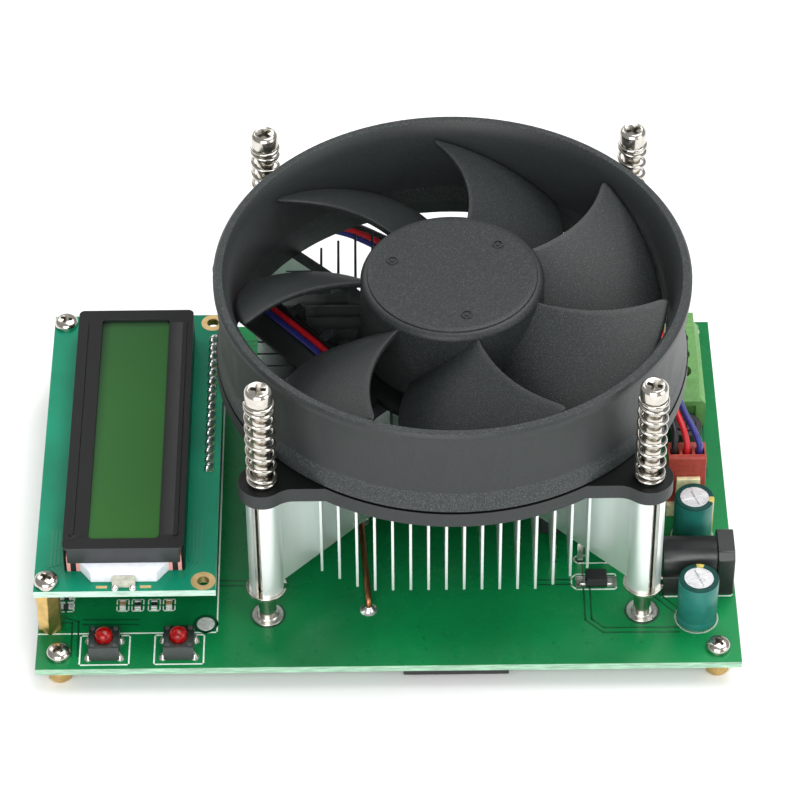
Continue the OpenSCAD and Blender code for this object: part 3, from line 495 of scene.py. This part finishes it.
def mesh_of(name, shape, scale):
    """A mesh of a Shape with all faces turned outwards."""
    mesh = bpy.data.meshes.new(name)
    mesh.from_pydata([tuple(v * scale) for v in shape.verts], [], shape.faces)
    mesh.polygons.foreach_set("material_index", shape.slots)
    clean = bmesh.new()
    clean.from_mesh(mesh)
    bmesh.ops.recalc_face_normals(clean, faces=clean.faces)
    clean.to_mesh(mesh)
    clean.free()
    return mesh


def piece(name, shape, materials, body=ROOT, sharp=35, bevel=0.0, replaces=()):
    """Makes a mesh piece of a Shape and lets it ride on its body."""
    return place(name, mesh_of(name, shape, MM), materials, body, sharp, bevel, replaces)


def place(name, mesh, materials, body, sharp, bevel, replaces):
    obj = new_object(name, mesh)
    for material in materials:
        mesh.materials.append(MATERIALS[material])
    if bevel:
        add_bevel(obj, bevel)
    mesh.polygons.foreach_set("use_smooth", [True] * len(mesh.polygons))
    mesh.set_sharp_from_angle(angle=radians(sharp))
    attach(obj, body)
    if replaces:
        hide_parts(*replaces)
    return obj


def add_bevel(obj, width):
    bevel = obj.modifiers.new("edges", "BEVEL")
    bevel.width = width * MM
    bevel.segments = 2
    bevel.limit_method = "ANGLE"
    bevel.angle_limit = radians(40)


def welded(node):
    """A working copy of a CAD node's mesh with its seams closed."""
    work = bmesh.new()
    work.from_mesh(NODES[node].data)
    bmesh.ops.remove_doubles(work, verts=work.verts, dist=SEAM * MM)
    return work


def joined_mesh(node, name):
    """A copy of a CAD node's mesh with its seams closed and its flat faces whole."""
    work = welded(node)
    bmesh.ops.dissolve_limit(work, angle_limit=radians(0.5), verts=work.verts, edges=work.edges)
    mesh = bpy.data.meshes.new(name)
    work.to_mesh(mesh)
    work.free()
    return mesh


def rounded(node, materials, bevel, sharp=35, body=ROOT):
    """A CAD node's own shape with softened edges, in place of the node."""
    name = node + "_soft"
    return place(name, joined_mesh(node, name), materials, body, sharp, bevel, (node,))


def islands(node):
    """The boxes of a CAD node's separate solids, in order of place."""
    work = welded(node)
    left, boxes = set(work.verts), []
    while left:
        stack, group = [left.pop()], []
        while stack:
            v = stack.pop()
            group.append(v.co / MM)
            for e in v.link_edges:
                other = e.other_vert(v)
                if other in left:
                    left.remove(other)
                    stack.append(other)
        boxes.append((Vector(map(min, *group)), Vector(map(max, *group))))
    work.free()
    return sorted(boxes, key=lambda b: tuple(round(c, 3) for c in b[0]))


def centres(node):
    return [centre(box) for box in islands(node)]


def dress(node, *materials):
    """Gives a CAD node its material."""
    data = NODES[node].data
    data.materials.clear()
    for material in materials:
        data.materials.append(MATERIALS[material])


def second(mesh, test):
    """Puts the second material on the faces whose normal and middle pass the test."""
    for face in mesh.polygons:
        face.material_index = 1 if test(face.normal, face.center / MM) else 0


def edge_faces(node):
    """Puts the second material on a board's outer edges."""
    lo, hi = span(node)
    near = 0.01

    def outer(normal, at):
        gaps = (at.x - lo.x, hi.x - at.x, at.y - lo.y, hi.y - at.y)
        return abs(normal.z) < 0.5 and min(abs(gap) for gap in gaps) < near

    second(NODES[node].data, outer)


def upper_at(z):
    """A test for the faces that look up at height z."""
    return lambda normal, at: normal.z > 0.95 and abs(at.z - z) < 0.05


def cut(shape, *cutters):
    """The shape with cutters taken away, as a new Shape."""
    made = []
    for part in (shape, *cutters):
        made.append(new_object("work", mesh_of("work", part, 1.0)))
    for cutter in made[1:]:
        modifier = made[0].modifiers.new("cut", "BOOLEAN")
        modifier.operation = "DIFFERENCE"
        modifier.solver = "EXACT"
        modifier.object = cutter
    bpy.context.view_layer.update()
    result = made[0].evaluated_get(bpy.context.evaluated_depsgraph_get()).to_mesh()
    out = Shape().add([v.co.copy() for v in result.vertices], [list(p.vertices) for p in result.polygons])
    for obj in made:
        bpy.data.objects.remove(obj)
    return out


def wedge(length, width, depth, top, angle):
    """One arm pair of a cross recess: a slot that narrows towards its floor."""
    turn = spin(angle)
    rings = []
    for z, share in ((top - depth, 0.45), (top + PROUD, 1.0)):
        x, y = length / 2 * share, width / 2 * (0.6 + 0.4 * share)
        rings.append([turn @ Vector((*corner, z)) for corner in rectangle((-x, -y), (x, y))])
    return Shape().loft(*rings)


def skin(profile, r):
    """Height of a turned part's upper side at radius r."""
    heights = []
    for (r0, z0), (r1, z1) in zip(profile, profile[1:]):
        if r0 != r1 and min(r0, r1) <= r <= max(r0, r1):
            heights.append(z0 + (z1 - z0) * (r - r0) / (r1 - r0))
    return max(heights)


def recessed(profile, top, length, width, depth, n=40):
    """A turned screw with a cross recess in its head; the recess takes the second material, a darker nickel
    as painted shade.
    """
    body = Shape().lathe(profile, (0, 0, 0), n)
    low, high = top - depth, top + PROUD
    near = 0.05
    hollow = Shape().lathe([(0, low), (width * 0.35, low), (width * 0.85, high), (0, high)], (0, 0, 0), 16)
    arms = [wedge(length, width, depth, top, angle) for angle in (0, 90)]
    made = cut(body, *arms, hollow)
    for i, face in enumerate(made.faces):
        c = sum((made.verts[k] for k in face), Vector()) / len(face)
        r = hypot(c.x, c.y)
        # Faces inside the recess take the darker nickel as painted shade
        if r < length / 2 and low - near < c.z < skin(profile, r) - near:
            made.slots[i] = 1
    return made


def circle(r, at, n=48):
    """Points round a circle, back to the first."""
    angles = [2 * pi * k / n for k in range(n + 1)]
    return [(at[0] + r * cos(a), at[1] + r * sin(a)) for a in angles]


def smooth_path(points, steps):
    """A curve through all points."""
    p = [Vector(q) for q in points]
    out = []
    for i in range(len(p) - 1):
        a, b, c, d = p[max(i - 1, 0)], p[i], p[i + 1], p[min(i + 2, len(p) - 1)]
        for k in range(steps):
            t = k / steps
            out.append(0.5 * (2 * b + (c - a) * t + (2 * a - 5 * b + 4 * c - d) * t * t
                              + (3 * b - a - 3 * c + d) * t ** 3))
    return out + [p[-1]]


def fan_rotor():
    """Hub with its stepped rim and seven swept blades with thin rounded edges."""
    shape = Shape()
    top = HUB_TOP
    hub = [(0, top), (15.6, top), (16.55, top - 0.02), (16.75, top - 0.12), (16.85, top - 0.42),
           (17.15, top - 0.46), (17.45, top - 0.55), (18.0, top - 1.15), (HUB_R, top - 1.7), (HUB_R, 5.1),
           (HUB_R - 0.1, 5), (16.6, 5), (16.6, 20.6), (4, 20.6), (4, 17.5), (1.5, 17.5), (1.5, 21.6),
           (0, 21.6)]
    shape.lathe(hub, (AXIS.x, AXIS.y, FAN_Z), 128)
    for i in range(BLADES):
        blade(shape, FIRST_BLADE - i * 360 / BLADES)
    for angle in (42, 162, 282):
        a = radians(angle)
        at = (AXIS.x + MARK_R * cos(a), AXIS.y + MARK_R * sin(a), FAN_Z + top)
        shape.lathe([(0.82, 0), (0.88, 0.24), (1.12, 0.24), (1.2, 0)], at, 28)
        shape.lathe([(0.45, 0), (0.4, 0.18), (0, 0.2)], at, 14)
    piece("rotor_skin", shape, ["fan"], "rotor", 38, replaces=("fan_rotor",))


def blade_surface(u, v):
    """Radius, angle and height of a blade's middle; u runs from hub to tip, v from upper to lower edge."""
    r = HUB_R + u * (TIP_R - HUB_R)
    root_span, sweep, bend = 45, 15.5, 1.7
    angle = -sweep * (1 - max(u, 0) ** bend) - v * (root_span + (BLADE_SPAN - root_span) * u)
    top, drop, belly = 20.9 + 0.5 * u, 13.7 - 0.7 * u, 3.2
    return r, angle, top - v * drop + belly * v * (1 - v)


def blade(shape, turn):
    """One blade, closed round its thin edges, with rounded corners at the tip."""
    rows = [-0.03, 0.03, 0.09] + [0.16 + 0.08 * k for k in range(9)]
    rows += [0.86, 0.91, 0.94, 0.965, 0.982, 0.993, 1.0]
    columns = [0, 0.003, 0.01, 0.02] + [0.02 + 0.96 * k / 22 for k in range(1, 22)] + [0.98, 0.99, 0.997, 1]
    rim, corner, cut_back = 0.02, 0.1, 0.06
    root_half, taper = 0.85, 0.35
    last_row, last_column = len(rows) - 1, len(columns) - 1
    verts, index = [], {}
    for side in (1, -1):
        for i, u in enumerate(rows):
            s = max(0.0, (u - 1 + corner) / corner)
            inset = cut_back * (1 - sqrt(max(0.0, 1 - s * s)))
            fade_u = sqrt(max(0.0, 1 - max(0.0, 1 - (1 - u) / rim) ** 2))
            for j, c in enumerate(columns):
                if side < 0 and (i == last_row or j in (0, last_column)):
                    index[side, i, j] = index[1, i, j]
                    continue
                near = min(c, 1 - c)
                fade_v = sqrt(max(0.0, 1 - max(0.0, 1 - near / rim) ** 2))
                r, angle, z = blade_surface(u, inset + (1 - 2 * inset) * c)
                a = radians(turn + angle)
                lift = side * (root_half - taper * u) * fade_u * fade_v
                index[side, i, j] = len(verts)
                verts.append((AXIS.x + r * cos(a), AXIS.y + r * sin(a), FAN_Z + z + lift))
    faces = []
    for side, corners in ((1, ((0, 0), (1, 0), (1, 1), (0, 1))), (-1, ((0, 0), (0, 1), (1, 1), (1, 0)))):
        faces += [[index[side, i + di, j + dj] for di, dj in corners]
                  for i in range(last_row) for j in range(last_column)]
    shape.add(verts, faces)


def spring_stacks():
    """Left-hand springs with closed ends, and their screws."""
    springs, screws = Shape(), Shape()
    head = SCREW_TOP - SPRING_TOP
    low = SCREW_LOW - SPRING_TOP
    profile = [(0, low), (SHANK_R - 0.3, low), (SHANK_R, low + 0.3), (SHANK_R, 0), (HEAD_R - 0.25, 0),
               (HEAD_R, 0.25), (HEAD_R, head - 0.8), (HEAD_R - 0.1, head - 0.55),
               (HEAD_R - 0.55, head - 0.08), (HEAD_R - 0.75, head), (HEAD_R - 0.95, head - 0.1),
               (0, head - 0.2)]
    screw = recessed(profile, head - 0.15, length=3.2, width=0.85, depth=1.4)
    lap = 2 * SPRING_WIRE_R
    clear = SPRING_TOP - SPRING_Z - 3 * lap
    steps = 40
    for c in centres("springs"):
        path = []
        for i in range(int(SPRING_TURNS * steps) + 1):
            t = i / steps
            if t < 1:
                z = t * lap
            elif t > SPRING_TURNS - 1:
                z = clear + lap * (2 - SPRING_TURNS + t)
            else:
                z = lap + (t - 1) * clear / (SPRING_TURNS - 2)
            a = 2 * pi * t
            x, y = c.x + SPRING_R * cos(a), c.y - SPRING_R * sin(a)
            path.append((x, y, SPRING_Z + SPRING_WIRE_R + z))
        springs.tube(path, SPRING_WIRE_R, 10)
        screws.copy(screw, (c.x, c.y, SPRING_TOP), spin(c.x * 7 + c.y * 3))
    piece("spring_coils", springs, ["chrome"], sharp=60, replaces=("springs",))
    piece("spring_screw_bodies", screws, ["nickel", "recess"], sharp=30,
          replaces=("spring_screws",))


def pan_screws():
    """Pan-head screws; those that hold the display posts from below are turned over."""
    near = 0.2
    dome = [(0, 0), (PAN_R - 0.1, 0), (PAN_R, 0.12), (PAN_R, 0.75), (PAN_R - 0.1, 1.1), (PAN_R - 0.4, 1.45),
            (PAN_R - 0.95, 1.74), (PAN_R - 1.6, 1.87), (0, PAN_H)]
    head = recessed(dome, PAN_H, length=2.9, width=0.8, depth=1.15)
    shape = Shape()
    for box in islands("pan_screws"):
        c = centre(box)
        turn = spin(c.x * 11 + c.y * 5)
        seat, low = box[1].z - PAN_H, box[0].z
        if abs(seat - ZT) > near and abs(seat - LCD_TOP) > near:
            turn = Matrix.Rotation(pi, 3, "X") @ turn
            seat, low = ZB, box[1].z
        shape.copy(head, (c.x, c.y, seat), turn)
        shape.lathe([(0, low), (PAN_SHANK_R, low), (PAN_SHANK_R, seat), (0, seat)], (c.x, c.y, 0), 24)
    piece("pan_screw_bodies", shape, ["nickel", "recess"], sharp=30, replaces=("pan_screws",))


def fan_lead():
    """Three wires side by side."""
    for colour, k in (("black", -1), ("red", 0), ("blue", 1)):
        points = [Vector(p) + k * Vector(s) + Vector((0, 0, ZT)) for p, s in zip(LEAD_ROUTE, LEAD_SIDES)]
        shape = Shape().tube(smooth_path(points, 8), WIRE_R, 14)
        node = "fan_wire_" + colour
        piece("lead_" + colour, shape, ["wire_" + colour], sharp=60, replaces=(node,))


def buttons():
    """Red caps with a straight side and a round top."""
    dome, lift, rim, steps = 1.15, 0.5, 0.8, 12
    for side in ("left", "right"):
        lo, hi = span("button_" + side)
        c = (lo + hi) / 2
        top, flange = hi.z + lift, (hi.x - lo.x) / 2
        profile = [(0, lo.z), (flange, lo.z), (flange, lo.z + rim), (BUTTON_R, lo.z + rim)]
        for k in range(steps + 1):
            a = pi / 2 * k / steps
            profile.append((BUTTON_R * cos(a) if k < steps else 0, top - dome + dome * sin(a)))
        shape = Shape().lathe(profile, (c.x, c.y, 0), 40)
        piece("button_" + side + "_soft", shape, ["button"], side + "_button", replaces=("button_" + side,))


def solder():
    """Hollow-sided cones round every pin and the shunt's ends, full drops along the display's row."""
    shape = Shape()
    slant = spin(50)
    oval = slant @ Matrix.Diagonal((1.3, 0.72, 1)) @ slant.transposed()
    for box in islands("solder_joints"):
        c, size = centre(box), box[1] - box[0]
        r, h = size.x / 2, size.z
        shares = [(1, 0), (0.86, 0.1), (0.6, 0.36), (0.46, 0.66), (0.4, 0.9), (0.26, 1), (0, 1.02)]
        if box[0].z > LCD_Z:
            r *= 1.1
            shares = [(1, 0), (0.98, 0.2), (0.86, 0.5), (0.62, 0.8), (0.3, 0.97), (0, 1)]
        profile = [(r * out, h * up) for out, up in shares]
        down = box[1].z < ZT - 0.5
        turn = Matrix.Rotation(pi, 3, "X") if down else oval if box[0].z > LCD_Z else None
        shape.lathe(profile, (c.x, c.y, box[1].z if down else box[0].z), 20, turn=turn)
    piece("solder_cones", shape, ["solder"], sharp=50, replaces=("solder_joints",))


def board_print():
    """White outlines, mask gaps beside the tracks, bare pads and small vias on the main board."""
    silk, gaps, pads = Shape(), Shape(), Shape()
    left = span("main_board")[0].x + 0.2
    line_x, line_y, far_y = -34.2, -40.0, 40.5
    silk.line([(left, line_y), (line_x, line_y), (line_x, far_y), (left, far_y)])
    for c in centres("switch_bodies"):
        corners = rectangle((c.x - 4.9, c.y - 4.1), (c.x + 4.9, c.y + 3.7))
        silk.line(corners + corners[:1])
    for box in islands("smd_resistors") + islands("smd_capacitors"):
        brackets(silk, box)
    diode = middle("smd_diode")
    x0, x1, y0, y1 = diode.x - 5, diode.x + 4, diode.y - 2.1, diode.y + 2.1
    outline = [(x1, y0), (x1, y1), (x0 + 1, y1), (x0, y1 - 1), (x0, y0 + 1), (x0 + 1, y0), (x1, y0)]
    silk.line(outline)
    silk.line([(37.9, -20.6), (38.6, -20), (40.6, -20)])
    silk.line([(37.9, -20.6), (37.9, -21.5), (38.6, -22.1), (46, -22.1)])
    for c in centres("capacitor_sleeves"):
        silk.line(circle(CAP_R + 0.25, c))
    lo, hi = span("jack_body")
    end = hi.x - 0.2
    for y, off in ((lo.y, -0.4), (hi.y, 0.4)):
        silk.line([(lo.x, y + off), (end, y + off), (end, y)])
    tracks(gaps)
    for c in centres("bushings"):
        gaps.ring(c, 3.2, 3.6)
        lip = [(1.75, 0), (2.2, 0), (2.25, 0.2), (2.1, 0.4), (1.78, 0.4)]
        pads.lathe(lip, (c.x, c.y, ZT + 0.4), 32, closed=True)
    for x, y in ((-36.5, -37.7), (-36.5, 37.2)):
        gaps.ring((x, y), 1.85, 2.5)
        pads.lathe([(1.8, 0), (1.75, 0.06), (1.1, 0.1), (0, 0.12)], (x, y, ZT), 32, 1)
    for c in centres("switch_legs"):
        pads.lathe([(0.95, 0), (0.8, 0.3), (0.45, 0.85), (0.2, 1.25), (0, 1.3)], (c.x, c.y, ZT), 18)
    diode_pads(pads, diode)
    scatter = random.Random(11)
    for low_x, high_x, low_y, high_y in ((-30, 52, -48, -37.5), (-68, -37, -38, 38)):
        for _ in range(30):
            x, y = scatter.uniform(low_x, high_x), scatter.uniform(low_y, high_y)
            gaps.ring((x, y), 0.14, 0.26, ZT, ZT + 0.02, 10)
    piece("board_silk", silk, ["silk"])
    piece("board_gaps", gaps, ["gap"])
    piece("board_pads", pads, ["tin", "bare_pad"], sharp=40)


def brackets(silk, box):
    """Two printed brackets round a small part."""
    room, gap, width = Vector((0.55, 0.55, 0)), 0.35, SILK_W * 0.8
    lo, hi = box[0] - room, box[1] + room
    c = centre(box)
    for s, end in ((-1, lo), (1, hi)):
        if hi.x - lo.x > hi.y - lo.y:
            x = c.x + s * gap
            silk.line([(x, lo.y), (end.x, lo.y), (end.x, hi.y), (x, hi.y)], width)
        else:
            y = c.y + s * gap
            silk.line([(lo.x, y), (lo.x, end.y), (hi.x, end.y), (hi.x, y)], width)


def tracks(gaps):
    """Dark mask gaps in pairs, one on each side of a copper track."""
    routes = [[(40.1, -22.4), (40.1, -37.6), (43, -40.5), (58, -40.6)], [(53.9, -30.9), (58, -35.6)],
              [(-34, -26.6), (-20, -26.8)], [(-65, -36.2), (-62.6, -36.9), (-62.4, -46)],
              [(-61, -36.9), (-50, -37)], [(30, -27.3), (37, -27.3)], [(66, 2), (66, 18)],
              [(-30, 44), (-18, 46), (30, 46), (52, 44)], [(-33, 30), (-24, 36), (-24, 44)],
              [(54, 4), (48, -2), (48, -14)]]
    half = 0.65
    for route in routes:
        for side in (-half, half):
            gaps.line(beside(route, side), GAP_W)


def beside(route, side):
    """A route moved sideways."""
    p = [Vector(q) for q in route]
    out = []
    for i, q in enumerate(p):
        t = (p[min(i + 1, len(p) - 1)] - p[max(i - 1, 0)]).normalized()
        out.append(q + side * Vector((-t.y, t.x)))
    return out


def diode_pads(pads, at):
    half_x, half_y, height = 0.95, 1.5, 0.08
    for x in (at.x - 3.2, at.x + 3.2):
        pads.box((x - half_x, at.y - half_y, ZT), (x + half_x, at.y + half_y, ZT + height))


def display_print():
    """Plated holes, pads, tracks and solder on the display board."""
    rings, gaps = Shape(), Shape()
    lo, hi = span("lcd_board")
    c = (lo + hi) / 2
    for y in (-37.5, 37.5):
        at = (c.x + 15.5, c.y + y)
        for z0, z1 in ((LCD_TOP, LCD_TOP + 0.05), (lo.z - 0.05, lo.z)):
            rings.ring(at, 1.34, 2.45, z0, z1)
        rings.ring(at, 1.22, 1.34, lo.z - 0.04, LCD_TOP + 0.04)
    lamp = middle("lcd_lamp")
    for x in (-4.4, 4.3):
        mid, half = lamp.x + x, 1.1
        rings.box((mid - half, lamp.y - 0.9, LCD_TOP), (mid + half, lamp.y - 0.2, LCD_TOP + 0.05))
    bezel_lo, bezel_hi = span("lcd_bezel")
    front = bezel_lo.y
    sides = ((bezel_lo.x, -1, 0.6, 1.4, 12, 2.5, -0.2), (bezel_hi.x, 1, 0.7, 1, 14, 3, 0))
    for k in range(4):
        step = 0.75 * k
        for edge, s, out, back, far, near, end in sides:
            x, x_end = edge + s * (out + step), edge - s * (back - step * 0.2)
            gaps.line([(x, front + far), (x, front + near - step * 0.4), (x_end, front + end - step * 0.6)],
                      DISPLAY_GAP_W, LCD_TOP)
    for box in islands("solder_joints"):
        if box[0].z > LCD_Z:
            rings.ring(centre(box), 0.5, 1.0, LCD_TOP, LCD_TOP + 0.03, 24)
    piece("display_pads", rings, ["gold_pad"], sharp=40)
    piece("display_tracks", gaps, ["display_gap"])
    blobs = Shape()
    for x in (-1.75, 1.75):
        profile = [(0.85, 0), (0.8, 0.3), (0.55, 0.75), (0.25, 1.0), (0, 1.05)]
        blobs.lathe(profile, (lamp.x + x, lamp.y - 0.85, LCD_TOP), 20)
    piece("lamp_solder", blobs, ["solder"], sharp=60)


def capacitors():
    """Shrink sleeves with rolled edges and a gold stripe up the side, round scored tops."""
    sleeve, tops = Shape(), Shape()
    h, mouth, half_stripe = CAP_H, 2.9, 14
    outer = [(CAP_R - 0.35, 0), (CAP_R - 0.05, 0.25), (CAP_R, 0.8), (CAP_R, 1.5), (CAP_R - 0.12, 1.75),
             (CAP_R - 0.12, 2.05), (CAP_R, 2.3), (CAP_R, h - 0.5), (CAP_R - 0.04, h - 0.28),
             (CAP_R - 0.14, h - 0.1), (CAP_R - 0.32, h), (mouth + 0.02, h), (mouth, h - 0.12)]
    n = 72
    # The step of the outline where the rim starts
    rim = 8
    for c, stripe in zip(centres("capacitor_sleeves"), (80, -15)):
        first = len(sleeve.slots)
        sleeve.lathe(outer, (c.x, c.y, ZT), n)
        for i in range(first, len(sleeve.slots)):
            off = ((i - first) % n) * 360 / n - stripe
            if abs((off + 180) % 360 - 180) < half_stripe:
                sleeve.slots[i] = 1
            elif i - first >= rim * n:
                sleeve.slots[i] = 2
    for box in islands("capacitor_cans"):
        c = centre(box)
        top = box[1].z
        low, high = top - 0.6, top + 0.02
        disc = Shape().lathe([(0, low), (mouth, low), (mouth, high), (0, high)], (0, 0, 0), 48)
        grooves = [groove(5.0, 0.34, 0.24, high, angle) for angle in (20, 110)]
        tops.copy(cut(disc, *grooves), (c.x, c.y, 0))
    piece("cap_sleeves", sleeve, ["sleeve", "sleeve_gold", "sleeve_rim"], sharp=40,
          replaces=("capacitor_sleeves",))
    piece("cap_tops", tops, ["can"], sharp=25)


def groove(length, width, depth, top, angle):
    """A scored line with sloping sides."""
    turn = spin(angle)
    verts = [turn @ Vector((x * length / 2, y * width / 2, z)) for x in (-1, 1)
             for y, z in ((0, top - depth), (1.6, top + 0.1), (-1.6, top + 0.1))]
    return Shape().add(verts, [[0, 1, 2], [5, 4, 3], [0, 3, 4, 1], [1, 4, 5, 2], [2, 5, 3, 0]])


def chip_parts():
    """Small surface parts with end caps, the diode's moulded body with its leads, and legged packages."""
    kinds = (("smd_resistors", "chip_resistors", "chip", "chip_black"),
             ("smd_capacitors", "chip_capacitors", "ceramic", "chip_tan"))
    for node, name, material, slot in kinds:
        shape = Shape()
        for lo, hi in islands(node):
            end_capped(shape, lo, hi)
        piece(name, shape, [material, "bare_pad"], bevel=0.08, replaces=(node,))
    diode_body()
    legs = Shape()
    for lo, hi in islands("chips"):
        package_legs(legs, lo, hi)
    piece("chip_legs", legs, ["tin"], bevel=0.03)


def end_capped(shape, lo, hi):
    """A small part's body between two end caps, each with a foot of solder."""
    cap, foot, foot_h, inset, sunk = 0.5, 0.4, 0.28, 0.04, 0.03
    along, across = (0, 1) if hi.x - lo.x > hi.y - lo.y else (1, 0)
    start, end = lo[along], hi[along]
    blocks = [(start + cap, end - cap, inset, hi.z - sunk, 0), (start, start + cap, 0, hi.z, 1),
              (end - cap, end, 0, hi.z, 1), (start - foot, start, 0, lo.z + foot_h, 1),
              (end, end + foot, 0, lo.z + foot_h, 1)]
    for first, last, side, top, slot in blocks:
        near, far = lo.copy(), hi.copy()
        near[along], far[along] = first, last
        near[across] += side
        far[across] -= side
        far.z = top
        shape.box(near, far, slot)


def diode_body():
    lo, hi = span("smd_diode")
    c = (lo + hi) / 2
    body = Shape()
    low, waist, half_lead = lo.z + 0.08, lo.z + 1.0, 0.75
    for steps in (((low, 0.22), (waist, 0.0)), ((waist, 0.0), (hi.z, 0.28))):
        rings = []
        for z, i in steps:
            inset = Vector((i, i, 0))
            rings.append([(x, y, z) for x, y in rectangle(lo + inset, hi - inset)])
        body.loft(*rings)
    for s in (-1, 1):
        edge = c.x + s * (hi.x - lo.x) / 2
        for inner, outer, z0, z1 in ((0, 0.12, lo.z + 0.1, waist), (-0.5, 1.0, low, lo.z + 0.3)):
            x0, x1 = sorted((edge + s * inner, edge + s * outer))
            body.box((x0, c.y - half_lead, z0), (x1, c.y + half_lead, z1), 1)
    piece("diode_body", body, ["chip", "solder"], bevel=0.06, replaces=("smd_diode",))


def package_legs(legs, lo, hi):
    """Bent legs along two sides of a package."""
    pitch = 0.8 if hi.x - lo.x > 7 else 1.27
    out, w, t, bend = 0.9, 0.3, 0.15, 0.5
    knee = out * 0.5
    runs = ((0, knee, bend, bend + t), (knee - t, out, 0, t), (knee - t, knee, t, bend))
    count = int((hi.y - lo.y - 1) / pitch)
    for i in range(count):
        y = (lo.y + hi.y) / 2 + (i - (count - 1) / 2) * pitch
        for edge, s in ((lo.x, -1), (hi.x, 1)):
            for near, far, z0, z1 in runs:
                x0, x1 = sorted((edge + s * near, edge + s * far))
                legs.box((x0, y - w / 2, lo.z + z0), (x1, y + w / 2, lo.z + z1))


def dress_nodes():
    """Materials of the CAD nodes that show as they are, and softened copies of the moulded ones."""
    dress("main_board", "board", "board_edge")
    dress("lcd_board", "display_board", "display_edge")
    edge_faces("main_board")
    edge_faces("lcd_board")
    plain = {
        "lcd_glass": "window", "lcd_strips": "strip", "thermal_pads": "pad", "transistor_tabs": "copper",
        "stator_core": "lamination", "stator_coils": "winding", "fan_bearing": "brass",
        "motor_board": "board", "rotor_magnet": "magnet", "rotor_shaft": "steel", "capacitor_cans": "can",
    }
    for node in ("lcd_pins", "transistor_leads", "through_pins", "header_pins", "switch_legs"):
        plain[node] = "tin"
    for node, material in plain.items():
        dress(node, material)
    # The sink's top faces take the darker second material as painted shade
    dress("heat_sink", "aluminium", "sink_top_painted_shade")
    second(NODES["heat_sink"].data, upper_at(FAN_Z))
    soft = {
        "lcd_guide": ("guide", 0.12), "lcd_lamp": ("lamp", 0.15),
        "lcd_header": ("black", 0.1), "lcd_posts": ("brass", 0.12), "board_feet": ("brass", 0.2),
        "transistors": ("chip", 0.2), "screw_clips": ("nickel", 0.08), "bushings": ("tin", 0.1),
        "back_plate": ("plate", 0.2), "fan_plug": ("plug", 0.12), "fan_header": ("cream", 0.12),
        "terminal_block": ("terminal", 0.15), "terminal_cages": ("nickel", 0.08),
        "trimmer_body": ("black", 0.15), "jack_body": ("jack", 0.2),
        "jack_pin": ("nickel", 0.15), "chips": ("chip", 0.1),
        "switch_bodies": ("switch", 0.08), "switch_covers": ("cover", 0.12),
    }
    for node, (material, width) in soft.items():
        rounded(node, [material], width)
    ring = rounded("fan_frame", ["fan_frame", "flange"], 0.18)
    # Painted shade: the flange's upper faces, in the shade of the ring wall, take the darker second material
    second(ring.data, upper_at(FAN_Z + FLANGE_T))
    bezel = rounded("lcd_bezel", ["bezel", "bezel_front_painted_highlight"], 0.3)
    # Painted highlight: the bezel's front faces take a paler second material
    second(bezel.data, lambda normal, at: normal.y < -0.8)
    rounded("shunt_wire", ["copper"], 0, sharp=70)
    rounded("trimmer_rotor", ["black"], 0.08, body="contrast_knob")
    for i in range(1, 5):
        rounded("terminal_screw_%d" % i, ["nickel"], 0.08, body="clamp_screw_%d" % i)


def studio():
    """Pale floor, soft boxes and the camera at the photograph's angle."""
    floor = bpy.data.meshes.new("floor")
    reach, drop = 3.0, 0.0002
    corners = [(x, y, 0) for x, y in rectangle((-reach, -reach), (reach, reach))]
    floor.from_pydata(corners, [], [(0, 1, 2, 3)])
    ground = new_object("floor", floor)
    white = Surface("floor_white", (251, 251, 251), 0.8).set(specular_ior_level=0.1)
    floor.materials.append(white.material)
    ground.location.z = -drop
    aim = Vector((0, 0, 0.03))
    lamps = [("key", (-0.15, -0.9, 0.6), 0.8, 9), ("top", (0.35, 0.25, 1.05), 0.9, 11),
             ("fill", (0.9, -0.4, 0.5), 0.6, 3), ("back", (-0.5, 0.8, 0.7), 0.7, 3)]
    for name, place_at, size, power in lamps:
        lamp = bpy.data.lights.new(name, "AREA")
        lamp.size = size
        lamp.energy = power
        obj = new_object(name, lamp)
        obj.location = place_at
        obj.rotation_euler = (aim - obj.location).to_track_quat("-Z", "Y").to_euler()
    world = bpy.data.worlds.new("studio")
    world.use_nodes = True
    tree = world.node_tree
    back = tree.nodes["Background"]
    back.inputs["Color"].default_value = (1, 1, 1, 1)
    rays = tree.nodes.new("ShaderNodeLightPath")
    level = tree.nodes.new("ShaderNodeMapRange")
    ambient, backdrop = 0.38, 1.0
    level.inputs["To Min"].default_value = ambient
    level.inputs["To Max"].default_value = backdrop
    tree.links.new(rays.outputs["Is Camera Ray"], level.inputs["Value"])
    tree.links.new(level.outputs[0], back.inputs["Strength"])
    bpy.context.scene.world = world
    bpy.context.scene.view_settings.view_transform = "Standard"
    camera()


def camera():
    """The camera that was fitted to the photograph."""
    azimuth, elevation, roll = (radians(a) for a in (-0.2593, 44.051, -0.445))
    distance = 765.9
    target = Vector((2.9, 5.48, 26.1))
    back = Vector((sin(azimuth) * cos(elevation), -cos(azimuth) * cos(elevation),
                   sin(elevation)))
    level = (-back).cross(Vector((0, 0, 1))).normalized()
    up = level.cross(-back)
    side = cos(roll) * level + sin(roll) * up
    top = -sin(roll) * level + cos(roll) * up
    data = bpy.data.cameras.new("camera")
    data.sensor_width = 36
    data.lens = 168.34
    data.clip_start = 0.01
    data.clip_end = 20
    obj = new_object("camera", data)
    turn = Matrix((side, top, back)).transposed().to_4x4()
    obj.matrix_world = Matrix.Translation((target + back * distance) * MM) @ turn
    bpy.context.scene.camera = obj


MATERIALS = make_materials()
dress_nodes()
fan_rotor()
spring_stacks()
pan_screws()
fan_lead()
buttons()
solder()
board_print()
display_print()
capacitors()
chip_parts()
studio()
